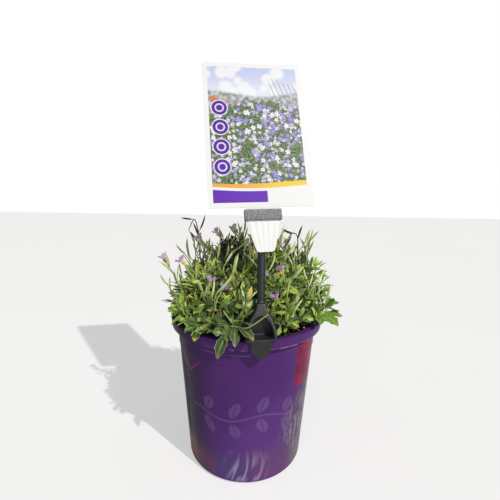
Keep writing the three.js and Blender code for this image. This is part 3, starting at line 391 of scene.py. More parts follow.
EXTRA_STALK_SPREAD = 0.5
EXTRA_STALK_END_SPREAD = 0.4
EXTRA_STALK_LEAN = 0.4
EXTRA_STALK_FOOT = 0.7
EXTRA_STALK_STEPS = 6
EXTRA_STALK_CLEARANCE = 0.9
EXTRA_PODS = [0, 1, 1, 2, 2]
EXTRA_POD_LENGTH = [13, 20]
EXTRA_POD_HEADING = [0.9, 0.3]
DRY_LEAF_SHARE = 0.02
# Planned stalks painted near-black green as shadow
SHADOWED_STALKS = ["tall_stalk", "right_arch"]
YELLOW_BLOOMS = ["bloom_left_high_1", "bloom_left_middle_1"]

# The fine leaves: the points across one, and for each station its share along the midrib, its share
# along at the edge and its half width
LEAF_COLUMNS = np.array([-1, -0.5, 0, 0.5, 1])
LEAF_THICKNESS_SHARES = np.array([0, 0.55, 1, 0.55, 0])
LEAF_MIDRIB_THICKNESS = 0.75
LEAF_RIPPLE = 0.4
LEAF_FINENESS = 0.75
LEAF_STATIONS = np.array([
    (0, 0, 0.14), (0.1, 0.1, 0.15), (0.2, 0.2, 0.2), (0.3, 0.3, 0.32), (0.37, 0.38, 0.46),
    (0.42, 0.46, 0.72), (0.47, 0.475, 0.62), (0.54, 0.56, 0.86), (0.6, 0.645, 1.06), (0.66, 0.665, 0.82),
    (0.72, 0.74, 0.9), (0.77, 0.815, 0.92), (0.83, 0.84, 0.62), (0.9, 0.9, 0.48), (0.96, 0.96, 0.27),
    (1, 1, 0.04),
])
LEAF_SMOOTH_WIDTHS = np.interp(LEAF_STATIONS[:, 0], [0, 0.2, 0.45, 0.65, 0.85, 0.95, 1],
                               [0.14, 0.22, 0.66, 0.92, 0.68, 0.36, 0.04])
SMALL_LEAF_STATIONS = [0, 2, 4, 5, 6, 8, 9, 11, 12, 14, 15]
# Lightness for each kind of green; the shadowed kind is kept low as painted shadow
LEAF_LIGHTNESS = {
    "dark": (0, 0.2), "deep": (0.02, 0.3), "rich": (0.1, 0.5), "pale": (0.6, 1), "dry": (0.5, 1),
    None: (-0.25, 1.15),
}
# Painted shade: leaves deep below the mound's surface are darkened by up to this much, over this depth
LEAF_PAINTED_SHADE = 0.6
LEAF_PAINTED_SHADE_DEPTH = 22

# The fine stems, stalks, pods, petals and sepals, at their stations from foot to tip
FINE_STEM_SHARES = np.linspace(0, 1, 12)
FINE_STEM_RADII = [1.05, 0.8]
FINE_STEM_TOP = 1.4
FINE_STEM_TOP_RADIUS = 0.25
FINE_STEM_SIDES = 7
FINE_STALK_STEPS = 7
FINE_STALK_RADII = [0.68, 0.42]
FINE_STALK_SIDES = 6
THINNER_EXTRA_STALK = 0.75
POD_BOW = [0.4, 1.6]
POD_SIZE = [0.85, 1.05]
POD_STATIONS = np.array([0, 0.05, 0.16, 0.2, 0.27, 0.36, 0.45, 0.54, 0.63, 0.72, 0.8, 0.87, 0.92, 1])
POD_RADII = np.array([0.34, 0.3, 0.32, 0.5, 0.88, 1, 1.04, 1.05, 1.02, 0.94, 0.78, 0.46, 0.22, 0.12])
POD_SIDES = 8
POD_FLATNESS = 0.72
POD_SEED_BUMP = 0.06
PETAL_STATIONS = np.array([
    (0, 0, 0.3), (0.14, 0.14, 0.32), (0.28, 0.28, 0.5), (0.42, 0.42, 0.78), (0.56, 0.57, 0.97),
    (0.68, 0.7, 1.02), (0.8, 0.83, 0.96), (0.89, 0.94, 0.78), (0.93, 1, 0.5), (0.945, 1.0, 0.22),
])
PETAL_THICKNESS = 0.22
FINE_TUBE_HEIGHTS = [-0.3, 0.3, 1.6, 3.2, 4.6, 5.4]
FINE_TUBE_RADII = [0.5, 0.95, 1.15, 1.12, 1.02, 0.75]
SEPALS = 4
SEPAL_LENGTH = 4.6
SEPAL_HALF_WIDTH = 0.85
SEPAL_WIDTHS = np.array([0.4, 0.85, 0.95, 0.7, 0.1])
STAMENS = 6
STAMEN_LINE = [(0, 0), (1.2, 0.2), (1.5, 0.25), (2.1, 0.3)]
STAMEN_RADII = [0.1, 0.1, 0.26, 0.12]


# Helpers for numbers, vectors and objects
def part(span, share):
    """The number at a share of a span."""
    return span[0] + (span[1] - span[0]) * share


def give(thing, **settings):
    """The thing, with its settings made."""
    for key, value in settings.items():
        setattr(thing, key, value)
    return thing


def add_object(name, data):
    made = bpy.data.objects.new(name, data)
    bpy.context.scene.collection.objects.link(made)
    return made


def at(*numbers):
    return np.array(numbers, float)


def unit(v):
    return v / np.linalg.norm(v)


def turned(v, axis, angle):
    cross = np.cross(axis, v)
    return v * math.cos(angle) + cross * math.sin(angle) + axis * (axis @ v) * (1 - math.cos(angle))


def towards(start, end, angle):
    return start * math.cos(angle) + end * math.sin(angle)


def curve_point(points, t):
    """The point at share t of a smooth curve through points."""
    spans = len(points) - 1
    k = min(int(t * spans), spans - 1)
    s = t * spans - k
    a, b = points[max(k - 1, 0)], points[k]
    c, d = points[k + 1], points[min(k + 2, spans)]
    cubic = 3 * b - a - 3 * c + d
    square = 2 * a - 5 * b + 4 * c - d
    return 0.5 * (2 * b + (c - a) * s + square * s * s + cubic * s * s * s)


def curve_line(points, steps):
    return [curve_point(points, k / steps) for k in range(steps + 1)]


# The clip's frames, as in the solids
def clip_frames():
    clip = Matrix.Translation((
        CLIP_RADIUS * math.sin(CLIP_AZIMUTH),
        -CLIP_RADIUS * math.cos(CLIP_AZIMUTH),
        POT_HEIGHT,
    )) @ Matrix.Rotation(CLIP_AZIMUTH, 4, "Z")
    lean = clip @ Matrix.Rotation(-CLIP_LEAN, 4, "X") @ Matrix.Rotation(CLIP_ROLL, 4, "Y")
    pivot = Matrix.Translation((0, 0, HEAD_PIVOT))
    head = lean @ pivot @ Matrix.Rotation(HEAD_TURN, 4, "Y") @ pivot.inverted()
    return [np.array(m) for m in (clip, lean, head)]


CLIP_FRAME, LEAN_FRAME, HEAD_FRAME = clip_frames()
TO_CLIP = np.linalg.inv(CLIP_FRAME)
TO_LEAN = np.linalg.inv(LEAN_FRAME)
TO_HEAD = np.linalg.inv(HEAD_FRAME)


def moved(points, matrix):
    return points @ matrix[:3, :3].T + matrix[:3, 3]


def within(points, box):
    return ((points >= box[0]) & (points <= box[1])).all(-1)


def touches_holder(points):
    lean = moved(points, TO_LEAN)
    reach = np.maximum(STEM_KEEP_OUT[1][0] - SCOOP_KEEP_OUT_TAPER * lean[:, 2], SLIM_STEM_KEEP_OUT)
    stem = within(lean, STEM_KEEP_OUT) & (np.abs(lean[:, 0]) < reach)
    return bool((within(moved(points, TO_CLIP), FOOT_KEEP_OUT) | stem | within(lean, HEAD_KEEP_OUT)).any())


def body_radius(z):
    return FOOT_RADIUS + (BODY_TOP_RADIUS - FOOT_RADIUS) * z / LIP_BOTTOM


def wall_radius(z):
    return body_radius(z) - WALL


def soil_height(x, y):
    crown = SOIL_CROWN * (1 - (x * x + y * y) / LIP_RADIUS ** 2)
    lumps = np.sin(x * 0.31 + 1) * np.cos(y * 0.27) + 0.6 * np.sin(x * 0.13 - y * 0.19)
    return SOIL_TOP + crown + SOIL_LUMP * lumps


def touches_pot(points):
    x, y, z = points.T
    r = np.hypot(x, y)
    inside = r < BODY_TOP_RADIUS - WALL - RIM_CLEARANCE
    low = z < soil_height(x, y) + SOIL_CLEARANCE
    rim = (r < LIP_RADIUS + RIM_CLEARANCE) & (z < POT_HEIGHT + RIM_CLEARANCE)
    return bool(np.where(inside, low, rim).any())


# The plan, drawn in the same order as in the solids
class Draws:
    """The seeded sequence that places the planned stems, pods and leaves."""

    def __init__(self, seed):
        self.value = seed

    def share(self):
        self.value = (self.value * LCG_FACTOR + LCG_STEP) % LCG_RANGE
        return self.value / LCG_RANGE

    def between(self, span):
        return part(span, self.share())


class Space:
    """Points that are taken, each with its owner."""

    def __init__(self):
        self.points = np.empty((SPACE_SIZE, 3))
        self.owners = np.empty(SPACE_SIZE, int)
        self.count = 0

    def take(self, points, owner):
        end = self.count + len(points)
        self.points[self.count:end] = points
        self.owners[self.count:end] = owner
        self.count = end

    def near(self, centre, reach, owner=None):
        points = self.points[:self.count]
        keep = (np.abs(points - centre) < reach).all(-1)
        if owner is not None:
            keep &= self.owners[:self.count] != owner
        return points[keep]


def closest(points, others):
    if not len(others):
        return math.inf
    return np.sqrt(((points[:, None] - others[None]) ** 2).sum(-1)).min()


def is_clear(space, points, owner, siblings):
    if touches_holder(points) or touches_pot(points):
        return False
    if closest(points, space.near(points.mean(0), NEIGHBOUR_REACH, owner)) < CLEARANCE:
        return False
    return closest(points[1:], siblings) >= SIBLING_CLEARANCE


def line_samples(line):
    samples = []
    for low, high in zip(line, line[1:]):
        steps = max(1, math.ceil(np.linalg.norm(high - low) / SAMPLE_SPACING))
        samples += [low + (high - low) * (i / steps) for i in range(steps)]
    return np.array(samples + [line[-1]])


def make_blade(root, direction, upward, length, half_width, rise, droop, twist):
    along = unit(direction)
    flat = unit(upward - along * (upward @ along))
    up = turned(flat, along, twist)
    return {
        "root": root, "along": along, "up": up, "sideways": np.cross(along, up), "length": length,
        "half_width": half_width, "rise": rise, "droop": droop,
    }


def blade_point(blade, s, across, over):
    lift = blade["length"] * (blade["rise"] * s - blade["droop"] * s * s) + over
    return (blade["root"] + blade["along"] * blade["length"] * s
            + blade["up"] * lift + blade["sideways"] * across)


def blade_samples(blade):
    samples = []
    for s, width in zip(SAMPLE_STATIONS, SAMPLE_WIDTHS):
        half = width * blade["half_width"]
        samples.append(blade_point(blade, s, 0, 0))
        if half:
            samples += [blade_point(blade, s, across, LEAF_FOLD * half) for across in (-half, half)]
    return np.array(samples)


def rod_rings(line, radii, sides, reference):
    rings = []
    for k, centre in enumerate(line):
        along = unit(line[min(k + 1, len(line) - 1)] - line[max(k - 1, 0)])
        across = unit(reference - along * (reference @ along))
        over = np.cross(along, across)
        turns = 2 * math.pi * np.arange(sides) / sides
        rings.append(centre + radii[k] * (np.outer(np.cos(turns), across) + np.outer(np.sin(turns), over)))
    return rings


def quad_frame(line, rings, band, side):
    after = (side + 1) % len(rings[band])
    centre = (rings[band][side] + rings[band][after] + rings[band + 1][after] + rings[band + 1][side]) / 4
    axis = (line[band] + line[band + 1]) / 2
    return centre, unit(centre - axis), unit(line[band + 1] - line[band])


class Stem:
    """A planned stem from its root in the soil to its leafy tip."""

    def __init__(self, name, tip):
        self.name = name
        self.tip = at(*tip)
        x, y, z = self.tip
        root = at(x * STEM_ROOT_SHARE, y * STEM_ROOT_SHARE, 0)
        surface = soil_height(root[0], root[1])
        self.root = root + at(0, 0, surface - HOLE_DEPTH)
        self.neck = root + at(0, 0, surface + STEM_NECK_HEIGHT)
        self.bend = at(x * STEM_BEND_SHARE, y * STEM_BEND_SHARE, surface + STEM_BEND_HEIGHT * (z - surface))
        azimuth = math.atan2(y, x)
        self.sideways = at(-math.sin(azimuth), math.cos(azimuth), 0)
        self.heading = unit(self.tip - self.bend)
        self.line = [self.root, self.neck] + [self.arc(t) for t in STEM_SHARES]
        self.line += [self.tip + self.heading * h for h in LEAFY_HEIGHTS]
        self.rings = rod_rings(self.line, STEM_RADII, STEM_SIDES, self.sideways)
        self.leaf_tips = []
        self.stalks = []
        self.blades = []
        self.shoots = []

    def arc(self, t):
        return self.neck * (1 - t) ** 2 + self.bend * (2 * t * (1 - t)) + self.tip * t * t


def ruled_tips(draws):
    tips = []
    for i in range(RULED_STEMS):
        r = MOUND_RADIUS * math.sqrt((i + 0.5) / RULED_STEMS)
        turn = i * GOLDEN_ANGLE + FIRST_STEM_TURN
        x, y = r * math.cos(turn), r * math.sin(turn)
        tips.append((x, y, mound_height(x, y) + MOUND_JITTER * (draws.share() - 0.5)))
    return tips


def mound_height(x, y):
    """A flat-topped mound, with swells at its back and its right shoulder."""
    height = MOUND_LOW + MOUND_RISE * (1 - (math.hypot(x, y) / MOUND_REACH) ** MOUND_POWER)
    for centre, reach, rise in MOUND_SWELLS:
        height += rise * math.exp(-(math.dist((x, y), centre) / reach) ** 2)
    return height


def plan_stalk(stem, points, pods, bloom):
    points = [stem.tip] + [at(*p) for p in points]
    line = curve_line(points, STALK_STEPS * (len(points) - 1))
    return {"points": points, "line": line, "pods": [], "pod_count": pods,
            "bloom": plan_bloom(line) if bloom else None}


def plan_bloom(stalk_line):
    end = stalk_line[-1]
    heading = unit(end - stalk_line[-2])
    line = [end + heading * (FIT_GAP + h) for h in BLOOM_TUBE_HEIGHTS]
    reference = at(0, 0, 1) if abs(heading[2]) < 0.9 else at(1, 0, 0)
    rings = rod_rings(line, BLOOM_TUBE_RADII, PETALS, reference)
    blades = []
    for side in range(PETALS):
        centre, normal, along = quad_frame(line, rings, PETAL_BAND, side)
        direction = towards(along, normal, PETAL_OPENING)
        blades.append(make_blade(centre, direction, heading, PETAL_LENGTH, PETAL_HALF_WIDTH,
                                 PETAL_RISE, PETAL_DROOP, 0))
    return {"line": line, "heading": heading, "reference": reference, "blades": blades}


def plan_stems(draws, space):
    stems = []
    for name, tip, leaf_tips, stalks in PLACED_STEMS:
        stem = Stem(name, tip)
        stem.leaf_tips = leaf_tips
        stem.stalk_plan = stalks
        stems.append(stem)
    number = 1
    for tip in ruled_tips(draws):
        crowded = any(math.hypot(s.tip[0] - tip[0], s.tip[1] - tip[1]) < STEM_SPACING for s in stems)
        stem = Stem(f"leafy_stem_{number:02d}", tip)
        blocked = touches_holder(np.array([stem.arc(t) for t in (0.4, 0.7, 1)]))
        if not crowded and not blocked:
            stem.stalk_plan = []
            stems.append(stem)
            number += 1
    for index, stem in enumerate(stems):
        space.take(line_samples([stem.arc(t) for t in (0, 0.2, 0.4, 0.6, 0.8, 1)]), index)
    for index, stem in enumerate(stems):
        stem.stalks = [plan_stalk(stem, *stalk) for stalk in stem.stalk_plan]
        for stalk in stem.stalks:
            space.take(line_samples(stalk["line"]), index)
            if stalk["bloom"]:
                space.take(np.vstack([blade_samples(b) for b in stalk["bloom"]["blades"]]), -1 - index)
        for x, y, z, half_width, arch in stem.leaf_tips:
            reach = at(x, y, z) - stem.tip
            length = np.linalg.norm(reach)
            blade = make_blade(stem.tip, reach, at(0, -0.3, 1), length, half_width, arch, arch, 0)
            space.take(blade_samples(blade), index)
            blade.update(large=1.1, shade="rich" if stem.name == "right_rosette" else "deep")
            stem.blades.append(blade)
    return stems


def plan_pods(draws, space, stalk, owner):
    for j in range(stalk["pod_count"]):
        t = POD_SHARES[0] + (POD_SHARES[1] - POD_SHARES[0]) * (j + 0.5) / stalk["pod_count"]
        start = curve_point(stalk["points"], t)
        along = unit(curve_point(stalk["points"], min(t + 0.05, 1)) - start)
        first_turn = j * GOLDEN_ANGLE + draws.share() * POD_TURN_SPREAD
        length = draws.between(POD_LENGTH)
        for turn in POD_TURNS:
            across = at(math.cos(first_turn + turn), math.sin(first_turn + turn), POD_LIFT)
            end = start + length * unit(along * POD_HEADING[0] + across * POD_HEADING[1])
            samples = line_samples([start, end])
            if is_clear(space, samples, owner, np.empty((0, 3))):
                space.take(samples, owner)
                stalk["pods"].append((start, end))
                break


def plan_leaves(draws, space, stem, index):
    first_side = int(draws.share() * STEM_SIDES)
    lines = [line for stalk in stem.stalks for line in [stalk["line"], *stalk["pods"]]]
    siblings = [p for line in lines for p in line_samples(line)]
    siblings = [p for p in siblings if np.linalg.norm(p - stem.tip) > STALK_FREE_FROM]
    for j in range(LEAVES_A_STEM):
        share = j / (LEAVES_A_STEM - 1)
        band = LEAF_BANDS[j * len(LEAF_BANDS) // LEAVES_A_STEM]
        side = (first_side + LEAF_SIDE_STEP * j) % STEM_SIDES
        length = draws.between(LEAF_LENGTH) * (1 - INNER_LEAF_SHORTER * share)
        slenderness = draws.between(LEAF_SLENDERNESS)
        droop = draws.between(LEAF_DROOP)
        twist = (draws.share() - 0.5) * LEAF_TWIST
        turn = (draws.share() - 0.5) * LEAF_TURN_SPREAD
        centre, normal, along = quad_frame(stem.line, stem.rings, band, side)
        for extra_turn, extra_pitch, scale in LEAF_TRIES:
            out = turned(normal, along, turn + extra_turn)
            pitch = part(LEAF_PITCH, share) + extra_pitch
            size = length * scale
            blade = make_blade(centre, towards(along, out, pitch), along, size, size * slenderness,
                               LEAF_RISE, droop, twist)
            samples = blade_samples(blade)
            if is_clear(space, samples, index, np.array(siblings).reshape(-1, 3)):
                space.take(samples, index)
                siblings += list(samples[1:])
                blade["large"] = LEAF_FINENESS
                stem.blades.append(blade)
                break


# What the scene adds: shoots that fill the mound, young leaves at each tip, and more stalks
def grow_leaf(space, looks, near, root, axis, out, pitch, length, owner, broader=1):
    """A blade that keeps clear of the near points, or None."""
    slenderness = looks.uniform(*SHOOT_SLENDERNESS) * broader
    droop = looks.uniform(*SHOOT_DROOP)
    twist = looks.uniform(*SHOOT_TWIST)
    for extra_turn, extra_pitch, scale in SHOOT_LEAF_TRIES:
        aim = turned(out, axis, extra_turn)
        size = length * scale
        blade = make_blade(root, towards(axis, aim, pitch + extra_pitch), axis, size, size * slenderness,
                           LEAF_RISE, droop, twist)
        samples = blade_samples(blade)
        if touches_holder(samples) or touches_pot(samples):
            continue
        close = near[(np.abs(near - samples[6]) < size * 0.6 + 2).all(-1)]
        if closest(samples[1:], close) >= SHOOT_CLEARANCE:
            space.take(samples, owner)
            return blade
    return None


def sideways(looks, reach):
    """A random level vector."""
    return at(looks.uniform(-reach, reach), looks.uniform(-reach, reach), 0)


def square_to(axis):
    reference = at(0, 0, 1) if abs(axis[2]) < 0.9 else at(1, 0, 0)
    return unit(np.cross(axis, reference))


def plan_hearts(space, looks, stems):
    for index, stem in enumerate(stems):
        first = looks.uniform(0, math.tau)
        near = space.near(stem.tip, 2 * HEART_LENGTH[0], index)
        for j in range(HEART_LEAVES):
            share = j / (HEART_LEAVES - 1)
            out = turned(square_to(stem.heading), stem.heading, first + j * GOLDEN_ANGLE)
            root = stem.tip + stem.heading * (0.4 + 0.8 * share)
            blade = grow_leaf(space, looks, near, root, stem.heading, out, part(HEART_PITCH, share),
                              part(HEART_LENGTH, share), index)
            if blade:
                blade["young"] = 1
                stem.blades.append(blade)


def grow_shoot(space, looks, stems, feet, tip, heading, leaves, length, owner, shade=None):
    """A side shoot from the nearest stem, with narrow leaves round its tip."""
    away = np.linalg.norm(feet - tip, axis=1) + 1000 * (feet[:, 2] > tip[2] + SHOOT_FALL)
    nearest = int(away.argmin())
    if away[nearest] > FOOT_REACH:
        return False
    bend = tip - heading * away[nearest] * SHOOT_BEND
    line = [feet[nearest], (feet[nearest] + bend) / 2 - at(0, 0, SHOOT_SAG), bend, tip,
            tip + heading * SHOOT_TOP]
    if touches_holder(line_samples(line)):
        return False
    near = space.near(tip, length + 8, owner)
    blades = []
    first = looks.uniform(0, math.tau)
    tone = looks.random()
    for j in range(leaves):
        share = j / (leaves - 1)
        out = turned(square_to(heading), heading, first + j * GOLDEN_ANGLE)
        root = tip + heading * part(SHOOT_LEAF_ROOTS, share)
        size = length * looks.uniform(*SHOOT_LEAF_SIZES) * (1 - INNER_SHOOT_LEAF_SHORTER * share)
        blade = grow_leaf(space, looks, near, root, heading, out, part(SHOOT_LEAF_PITCH, share), size, owner,
                          BROADER_LEAVES.get(shade, 1))
        if blade:
            blade.update(young=share * 0.5, shade=shade, tone=tone)
            if shade in BROADER_LEAVES:
                blade["large"] = 1
            blades.append(blade)
    grown = len(blades) >= FEWEST_SHOOT_LEAVES
    if grown:
        stems[nearest // len(FOOT_SHARES)].shoots.append({"line": line, "blades": blades})
    return grown


def plan_shoots(space, looks, stems):
    owner = len(stems)
    tips = [stem.tip for stem in stems]
    feet = np.array([stem.arc(t) for stem in stems for t in FOOT_SHARES])
    for tip, heading, leaves, length, shade in PLACED_SHOOTS:
        owner += 1
        tip = at(*tip)
        if grow_shoot(space, looks, stems, feet, tip, unit(at(*heading)), leaves, length, owner, shade):
            tips.append(tip)
    for i in range(RIM_SHOOTS):
        owner += 1
        turn = math.tau * (i + looks.uniform(-RIM_SHOOT_SPREAD, RIM_SHOOT_SPREAD)) / RIM_SHOOTS
        outward = at(math.cos(turn), math.sin(turn), 0)
        tip = outward * looks.uniform(*RIM_SHOOT_RADII) + at(0, 0, looks.uniform(*RIM_SHOOT_HEIGHTS))
        heading = unit(outward * looks.uniform(*RIM_SHOOT_LEAN) + at(0, 0, 1))
        length = looks.uniform(*SHOOT_LENGTH)
        if grow_shoot(space, looks, stems, feet, tip, heading, SHOOT_LEAVES, length, owner):
            tips.append(tip)
    for _ in range(SHOOT_TRIES):
        r = SHOOT_REACH * math.sqrt(looks.random())
        turn = looks.uniform(0, math.tau)
        x, y = r * math.cos(turn), r * math.sin(turn)
        rim = POT_HEIGHT + SHOOT_ABOVE_RIM if r > RIM_NEAR_RADIUS else 0
        floor = max(soil_height(x, y) + SHOOT_ABOVE_SOIL, rim)
        top = mound_height(x, y) + SHOOT_ABOVE
        tip = at(x, y, part((floor, top), looks.random() ** SHOOT_CROWDING_UP))
        if closest(tip[None], np.array(tips)) < SHOOT_SPACING or touches_holder(tip[None]):
            continue
        owner += 1
        outward = at(x, y, 0) / MOUND_RADIUS
        heading = unit(outward * SHOOT_OUTWARD + sideways(looks, SHOOT_SPREAD) + at(0, 0, 1))
        length = looks.uniform(*SHOOT_LENGTH)
        if grow_shoot(space, looks, stems, feet, tip, heading, SHOOT_LEAVES, length, owner):
            tips.append(tip)


def add_extra_stalk(space, looks, stem, index, points, pods):
    """A thin stalk with pods along its upper half, unless something is in its way."""
    line = curve_line(points, EXTRA_STALK_STEPS)
    samples = line_samples(line)
    near = space.near(points[-1], 40, index)
    if touches_holder(samples) or closest(samples[2:], near) < EXTRA_STALK_CLEARANCE:
        return
    space.take(samples, index)
    stalk = {"points": points, "line": line, "pods": [], "bloom": None, "extra": True}
    for j in range(pods):
        t = 0.5 + 0.48 * (j + 0.5) / pods
        start = curve_point(points, t)
        along = unit(curve_point(points, min(t + 0.05, 1)) - start + at(0, 0, 1e-6))
        turn = j * GOLDEN_ANGLE + looks.uniform(0, 1)
        across = at(math.cos(turn), math.sin(turn), POD_LIFT)
        end = start + looks.uniform(*EXTRA_POD_LENGTH) * unit(
            along * EXTRA_POD_HEADING[0] + across * EXTRA_POD_HEADING[1])
        pod = line_samples([start, end])
        near = space.near(start, 30, index)
        if not touches_holder(pod) and closest(pod[1:], near) > EXTRA_STALK_CLEARANCE:
            space.take(pod, index)
            stalk["pods"].append((start, end))
    stem.stalks.append(stalk)


def plan_extra_stalks(space, looks, stems):
    """Thin stalks besides those that the solids carry: the placed ones, then more at random."""
    tips = np.array([stem.tip for stem in stems])
    for points, pods in PLACED_STALKS:
        points = [at(*p) for p in points]
        index = int(np.linalg.norm(tips - points[0], axis=1).argmin())
        stem = stems[index]
        add_extra_stalk(space, looks, stem, index, [stem.arc(EXTRA_STALK_FOOT), *points], pods)
    for index, stem in enumerate(stems):
        for _ in range(looks.choice(EXTRA_STALKS)):
            rise = looks.uniform(*EXTRA_STALK_RISE)
            spread = sideways(looks, EXTRA_STALK_SPREAD) + at(0, 0, 1)
            lean = stem.heading * at(1, 1, 0) * EXTRA_STALK_LEAN
            middle = stem.tip + unit(spread + lean) * rise * 0.5
            end = middle + unit(spread + sideways(looks, EXTRA_STALK_END_SPREAD)) * rise * 0.5
            add_extra_stalk(space, looks, stem, index, [stem.tip, middle, end], looks.choice(EXTRA_PODS))


def plan_plant():
    draws = Draws(SEED)
    space = Space()
    stems = plan_stems(draws, space)
    for index, stem in enumerate(stems):
        for stalk in stem.stalks:
            plan_pods(draws, space, stalk, index)
    for index, stem in enumerate(stems):
        if not stem.leaf_tips:
            plan_leaves(draws, space, stem, index)
    looks = random.Random(LOOKS_SEED)
    plan_extra_stalks(space, looks, stems)
    plan_hearts(space, looks, stems)
    plan_shoots(space, looks, stems)
    for stem in stems:
        for pod in PLACED_PODS.get(stem.name, []):
            stem.stalks[0]["pods"].append([at(*p) for p in pod])
    return stems


# Meshes from shells: closed rings of points with a cap at each end
class Shells:
    """Collects closed shells and makes one mesh of them, with a tint for each point and a UV map."""

    def __init__(self):
        self.points = []
        self.faces = []
        self.slots = []
        self.uvs = []
        self.tints = []
        self.count = 0

    def add(self, rings, slot, uv, tint, closed=True):
        rings = np.asarray(rings, float)
        rows, sides = rings.shape[:2]
        start = self.count
        for k in range(rows - 1):
            low, high = start + k * sides, start + (k + 1) * sides
            for i in range(sides):
                j = (i + 1) % sides
                self.faces.append((low + i, low + j, high + j, high + i))
        if closed:
            last = start + (rows - 1) * sides
            self.faces.append(tuple(range(start, start + sides)))
            self.faces.append(tuple(range(last + sides - 1, last - 1, -1)))
        self.slots += [slot] * (len(self.faces) - len(self.slots))
        self.points.append(rings.reshape(-1, 3))
        self.uvs.append(np.broadcast_to(uv, (rows, sides, 2)).reshape(-1, 2))
        self.tints.append(np.broadcast_to(tint, (rows, sides, 4)).reshape(-1, 4))
        self.count += rows * sides

    def object(self, name, materials, sharp=50):
        mesh = bpy.data.meshes.new(name)
        mesh.from_pydata((np.vstack(self.points) * MM).tolist(), [], self.faces)
        mesh.polygons.foreach_set("material_index", self.slots)
        made = finish_mesh(mesh, name, materials, sharp)
        write_point_data(mesh, np.vstack(self.uvs), np.vstack(self.tints))
        return made


def write_point_data(mesh, uvs, tints):
    corners = np.empty(len(mesh.loops), int)
    mesh.loops.foreach_get("vertex_index", corners)
    layer = mesh.uv_layers.new(name="UVMap")
    layer.data.foreach_set("uv", uvs[corners].ravel())
    tint = mesh.color_attributes.new("tint", "FLOAT_COLOR", "POINT")
    tint.data.foreach_set("color", tints.ravel())


def finish_mesh(mesh, name, materials, sharp):
    work = bmesh.new()
    work.from_mesh(mesh)
    bmesh.ops.recalc_face_normals(work, faces=work.faces)
    work.to_mesh(mesh)
    work.free()
    mesh.shade_smooth()
    mesh.set_sharp_from_angle(angle=math.radians(sharp))
    for material in materials:
        mesh.materials.append(material)
    return add_object(name, mesh)


def adopt(piece, nodes):
    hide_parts(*nodes)
    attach(piece, "root")


# Leaves, stalks, pods and blooms as shells
def leaf_rings(blade, looks):
    """The rings of a toothed leaf: five points above, three below."""
    depth = looks.uniform(0.55, 1.1)
    twist = looks.uniform(-0.35, 0.35)
    phase = looks.uniform(0, math.tau)
    uneven = looks.uniform(-0.12, 0.12)
    chosen = slice(None) if "large" in blade else SMALL_LEAF_STATIONS
    middle, edge, widths = LEAF_STATIONS[chosen].T
    smooth_widths = LEAF_SMOOTH_WIDTHS[chosen]
    widths = smooth_widths + depth * (widths - smooth_widths)
    columns = LEAF_COLUMNS[None, :]
    s = middle[:, None] + (edge - middle)[:, None] * np.abs(columns)
    half = blade.get("large", LEAF_FINENESS) * blade["half_width"] * widths[:, None] * (1 + uneven * columns)
    across = half * columns
    size = min(blade["length"] / 16, 1.15)
    ripple = LEAF_RIPPLE * size * np.sin(14 * s + phase) * np.abs(columns) ** 2 * (widths[:, None] > 0.3)
    over = LEAF_FOLD * np.abs(across) + ripple - 0.15 * size * (columns == 0)
    thickness = LEAF_MIDRIB_THICKNESS * size * LEAF_THICKNESS_SHARES[None, :] * (0.5 + 0.5 * widths[:, None])
    turn = twist * s
    lift = blade["length"] * (blade["rise"] * s - blade["droop"] * s * s)
    along = blade["along"] * (blade["length"] * s)[..., None]

    def surface(height):
        side = across * np.cos(turn) - height * np.sin(turn)
        up = lift + across * np.sin(turn) + height * np.cos(turn)
        return blade["root"] + along + blade["up"] * up[..., None] + blade["sideways"] * side[..., None]

    above = surface(over + thickness / 2)
    below = surface(over - thickness / 2)[:, 3:0:-1]
    u = (columns + 1) / 2 + 0 * s
    uv = np.stack([u, s], -1)
    return np.concatenate([above, below], 1), np.concatenate([uv, uv[:, 3:0:-1]], 1)


def patch_shade(point):
    for centre, reach, shade in SHADE_PATCHES:
        if np.linalg.norm(point - centre) < reach:
            return shade
    return None


def leaf_tint(looks, blade):
    """Lightness, painted darker as shade deep in the mound, yellowing, bluish share, at its top painted
    shadow, and dryness of one leaf.
    """
    middle = blade_point(blade, 0.5, 0, 0)
    shade = blade.get("shade") or patch_shade(middle)
    dry = shade == "dry" or shade is None and looks.random() < DRY_LEAF_SHARE
    yellow = looks.uniform(0.6, 1) if dry else looks.random() ** 3 * 0.3
    light = part(LEAF_LIGHTNESS[shade], 0.5 * looks.random() + 0.5 * blade.get("tone", looks.random()))
    light += 0.25 * blade.get("young", 0) * (shade != "dark")
    x, y, z = middle
    # Painted shade: darker the deeper the leaf lies below the mound's surface
    light -= LEAF_PAINTED_SHADE * max(0, min(1, (mound_height(x, y) - z - 5) / LEAF_PAINTED_SHADE_DEPTH))
    # Shadowed leaves get the top of the third channel, which paints their shadow
    blue_and_shadow = looks.uniform(0.85, 1) if shade == "dark" else looks.uniform(0, 0.1 if shade == "rich" else 0.72)
    return at(max(0, min(1, light)), yellow, blue_and_shadow, looks.random())


def add_leaf(shells, blade, looks):
    rings, uv = leaf_rings(blade, looks)
    shells.add(rings, 0, uv, leaf_tint(looks, blade))


def add_rod(shells, line, radii, sides, slot, tint, reference):
    v = np.linspace(0, 1, len(line))[:, None]
    u = np.abs(np.linspace(-1, 1, sides, endpoint=False))[None, :]
    uv = np.stack([u + 0 * v, v + 0 * u], -1)
    shells.add(rod_rings(line, radii, sides, reference), slot, uv, tint)


def safe_reference(line):
    return square_to(unit(line[-1] - line[0] + at(0, 0, 1e-6)))


def add_stem(shells, stem, looks):
    line = [stem.root, *map(stem.arc, FINE_STEM_SHARES), stem.tip + stem.heading * FINE_STEM_TOP]
    radii = np.linspace(*FINE_STEM_RADII, len(line))
    radii[-1] = FINE_STEM_TOP_RADIUS
    tint = at(looks.uniform(0.2, 0.6), 0.15, looks.random(), 1)
    add_rod(shells, line, radii, FINE_STEM_SIDES, 1, tint, stem.sideways)


